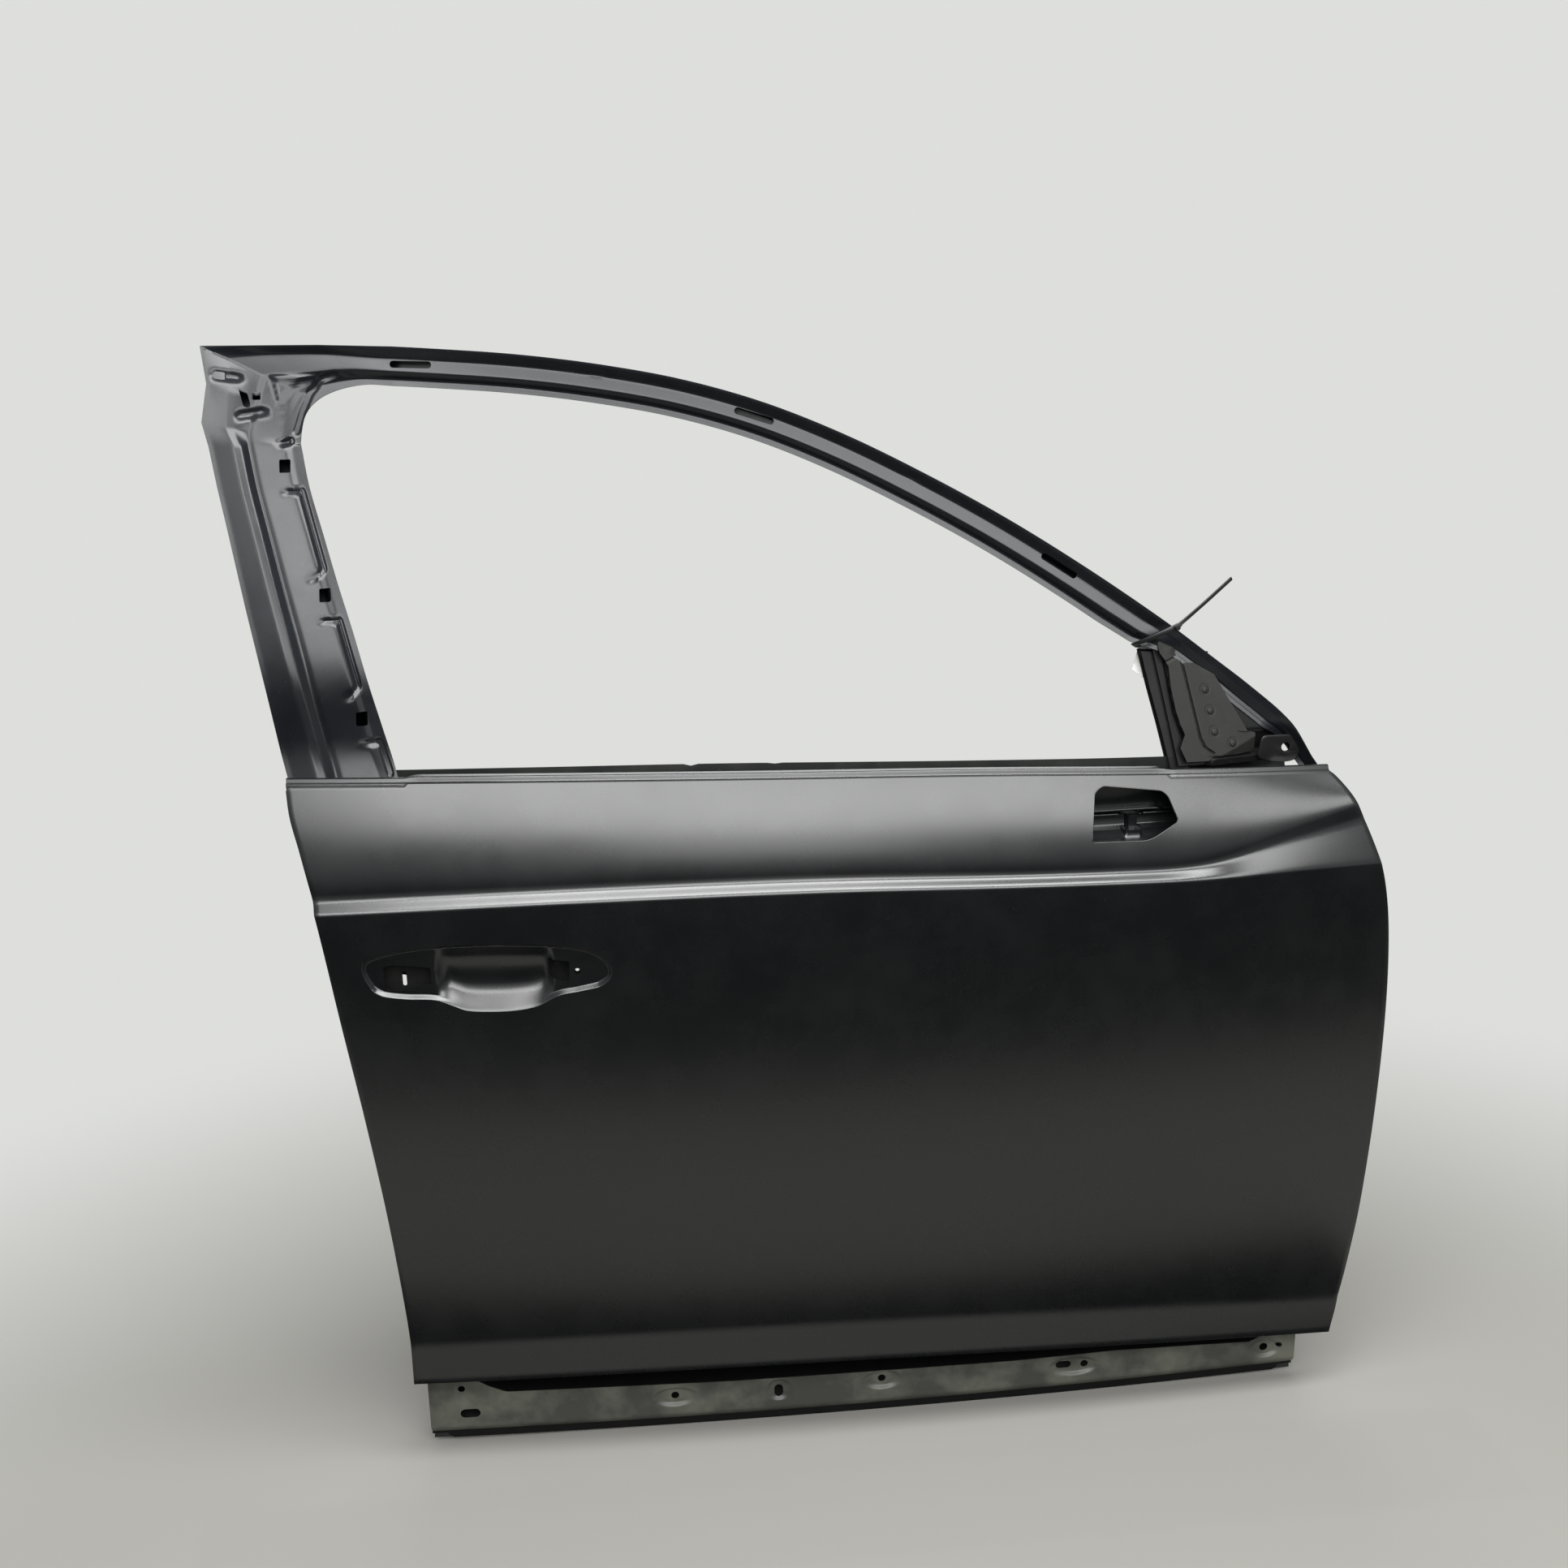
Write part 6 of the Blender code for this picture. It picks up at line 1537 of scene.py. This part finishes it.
class DOOR_OT_stage(bpy.types.Operator):
    """Set the floor, soft lights, black card and camera"""

    bl_idname = "door.stage"
    bl_label = "Stage"

    def light(self, name, place, aim, size, power):
        lamp = bpy.data.lights.new(name, "AREA")
        lamp.shape = "RECTANGLE"
        lamp.size, lamp.size_y = size
        lamp.energy = power
        thing = bpy.data.objects.new(name, lamp)
        thing.location = place
        thing.rotation_euler = (Vector(aim) - Vector(place)).to_track_quat("-Z", "Y").to_euler()
        bpy.context.scene.collection.objects.link(thing)
        return thing

    def card(self, name, corners, finish):
        mesh = bpy.data.meshes.new(name)
        mesh.from_pydata(corners, [], [(0, 1, 2, 3)])
        mesh.materials.append(finish)
        thing = bpy.data.objects.new(name, mesh)
        bpy.context.scene.collection.objects.link(thing)
        return thing

    def floor(self, paint, level):
        """A matt floor that runs out into the pale backdrop some way behind the door."""
        finish, tree, shader, place = new_finish("studio_floor")
        shader.inputs["Base Color"].default_value = (*paint.floor, 1)
        shader.inputs["Roughness"].default_value = 0.8
        away = add_node(tree, "ShaderNodeVectorMath", [(place, 0)], operation="DISTANCE")
        away.inputs[1].default_value = (*RUN_OUT_CENTRE, level)
        far = ranged(tree, away.outputs["Value"], in_From_Min=RUN_OUT[0], in_From_Max=RUN_OUT[1],
                     interpolation_type="SMOOTHSTEP")
        seen = add_node(tree, "ShaderNodeLightPath")
        both = add_node(tree, "ShaderNodeMath", [(far, 0), (seen.outputs["Is Camera Ray"], 1)],
                        operation="MULTIPLY")
        pale = add_node(tree, "ShaderNodeEmission", in_Color=(*paint.backdrop, 1), in_Strength=1.0)
        run_out = add_node(tree, "ShaderNodeMixShader", [(both.outputs[0], 0),
                                                         (shader.outputs[0], 1),
                                                         (pale.outputs[0], 2)])
        tree.links.new(run_out.outputs[0], tree.nodes["Material Output"].inputs["Surface"])
        half = FLOOR_HALF
        self.card("floor", [(-half, -half, level), (half, -half, level), (half, half, level),
                            (-half, half, level)], finish)

    def flags(self, level):
        """Black cards seen only in the gloss, and a small one that darkens the pillar's foot."""
        black, tree, shader, place = new_finish("black_card")
        shader.inputs["Base Color"].default_value = (*linear("0a0a0a"), 1)
        shader.inputs["Roughness"].default_value = 1.0
        shader.inputs["Specular IOR Level"].default_value = 0.0
        # The narrow strip close to the door's foot is a painted shadow: it stands for the floor's
        # shade there, seen only in the gloss
        for rear, front, near, far, high in ((-3.4, 2.4, -0.75, -1.9, level),
                                             (-3.4, 2.4, -1.9, -1.9, 0.0),
                                             (-1.25, 0.15, -0.09, -0.24, level)):
            flag = self.card("flag", [(rear, near, level), (front, near, level),
                                      (front, far, high), (rear, far, high)], black)
            flag.visible_camera = flag.visible_diffuse = flag.visible_shadow = False
            flag.visible_transmission = False
        (rear, front), y, (low, high) = PILLAR_FLAG
        flag = self.card("pillar_flag", [(rear, y, low), (front, y, low), (front, y, high),
                                         (rear, y, high)], black)
        flag.visible_camera = flag.visible_diffuse = False

    def execute(self, context):
        paint = context.scene.door_colours
        self.floor(paint, CAD_BOX[0].z)
        self.flags(CAD_BOX[0].z + 0.004)
        for lamp in LIGHTS:
            self.light(*lamp)
        self.world(paint.backdrop)
        self.camera()
        context.scene.view_settings.view_transform = "Standard"
        return {"FINISHED"}

    def world(self, backdrop):
        sky = bpy.data.worlds.new("studio")
        bpy.context.scene.world = sky
        sky.use_nodes = True
        tree = sky.node_tree
        tree.nodes.clear()
        soft = add_node(tree, "ShaderNodeBackground", in_Color=(*linear("f4f6f8"), 1),
                        in_Strength=WORLD_STRENGTH)
        seen = add_node(tree, "ShaderNodeBackground", in_Color=(*backdrop, 1), in_Strength=1.0)
        path = add_node(tree, "ShaderNodeLightPath")
        both = add_node(tree, "ShaderNodeMixShader", [(path.outputs["Is Camera Ray"], 0),
                                                      (soft.outputs[0], 1), (seen.outputs[0], 2)])
        add_node(tree, "ShaderNodeOutputWorld", [(both.outputs[0], "Surface")])

    def camera(self):
        pitch, yaw, roll = (math.radians(turn) for turn in CAMERA_TURN)
        ahead = Vector((math.sin(yaw) * math.cos(pitch), math.cos(yaw) * math.cos(pitch),
                        math.sin(pitch)))
        level = Vector((math.cos(yaw), -math.sin(yaw), 0))
        up = level.cross(ahead)
        right = level * math.cos(roll) + up * math.sin(roll)
        up = right.cross(ahead)
        lens = bpy.data.cameras.new("camera")
        lens.sensor_width = SENSOR
        lens.lens = LENS
        lens.clip_start, lens.clip_end = 0.05, 60.0
        thing = bpy.data.objects.new("camera", lens)
        thing.matrix_world = Matrix.Translation(CAMERA_PLACE) @ Matrix(
            (right, up, -ahead)).transposed().to_4x4()
        bpy.context.scene.collection.objects.link(thing)
        bpy.context.scene.camera = thing


class DOOR_PT_panel(bpy.types.Panel):
    """Buttons for each group of pieces, with the sizes and colours"""

    bl_label = "Door shell"
    bl_idname = "DOOR_PT_panel"
    bl_space_type = "VIEW_3D"
    bl_region_type = "UI"
    bl_category = "Door shell"

    def draw(self, context):
        for group in (context.scene.door_sizes, context.scene.door_colours):
            for name in group.bl_rna.properties.keys():
                if name not in ("rna_type", "name"):
                    self.layout.prop(group, name)
        for step in STEPS:
            self.layout.operator(step.bl_idname)


STEPS = (DOOR_OT_finishes, DOOR_OT_skin, DOOR_OT_window_frame, DOOR_OT_sill_band,
         DOOR_OT_front_corner, DOOR_OT_mirror_pocket, DOOR_OT_inner_panel,
         DOOR_OT_tie_and_label, DOOR_OT_carried, DOOR_OT_stage)
CLASSES = (DoorSizes, DoorColours) + STEPS + (DOOR_PT_panel,)


def register():
    for made in CLASSES:
        bpy.utils.register_class(made)
    bpy.types.Scene.door_sizes = bpy.props.PointerProperty(type=DoorSizes)
    bpy.types.Scene.door_colours = bpy.props.PointerProperty(type=DoorColours)


def unregister():
    del bpy.types.Scene.door_sizes
    del bpy.types.Scene.door_colours
    for made in reversed(CLASSES):
        bpy.utils.unregister_class(made)


def main():
    register()
    for thing in list(bpy.context.scene.objects):
        if thing.type in ("CAMERA", "LIGHT"):
            bpy.data.objects.remove(thing, do_unlink=True)
    bpy.ops.door.finishes()
    bpy.ops.door.skin()
    bpy.ops.door.window_frame()
    bpy.ops.door.sill_band()
    bpy.ops.door.front_corner()
    bpy.ops.door.mirror_pocket()
    bpy.ops.door.inner_panel()
    bpy.ops.door.tie_and_label()
    bpy.ops.door.carried()
    bpy.ops.door.stage()


if __name__ == "__main__":
    main()
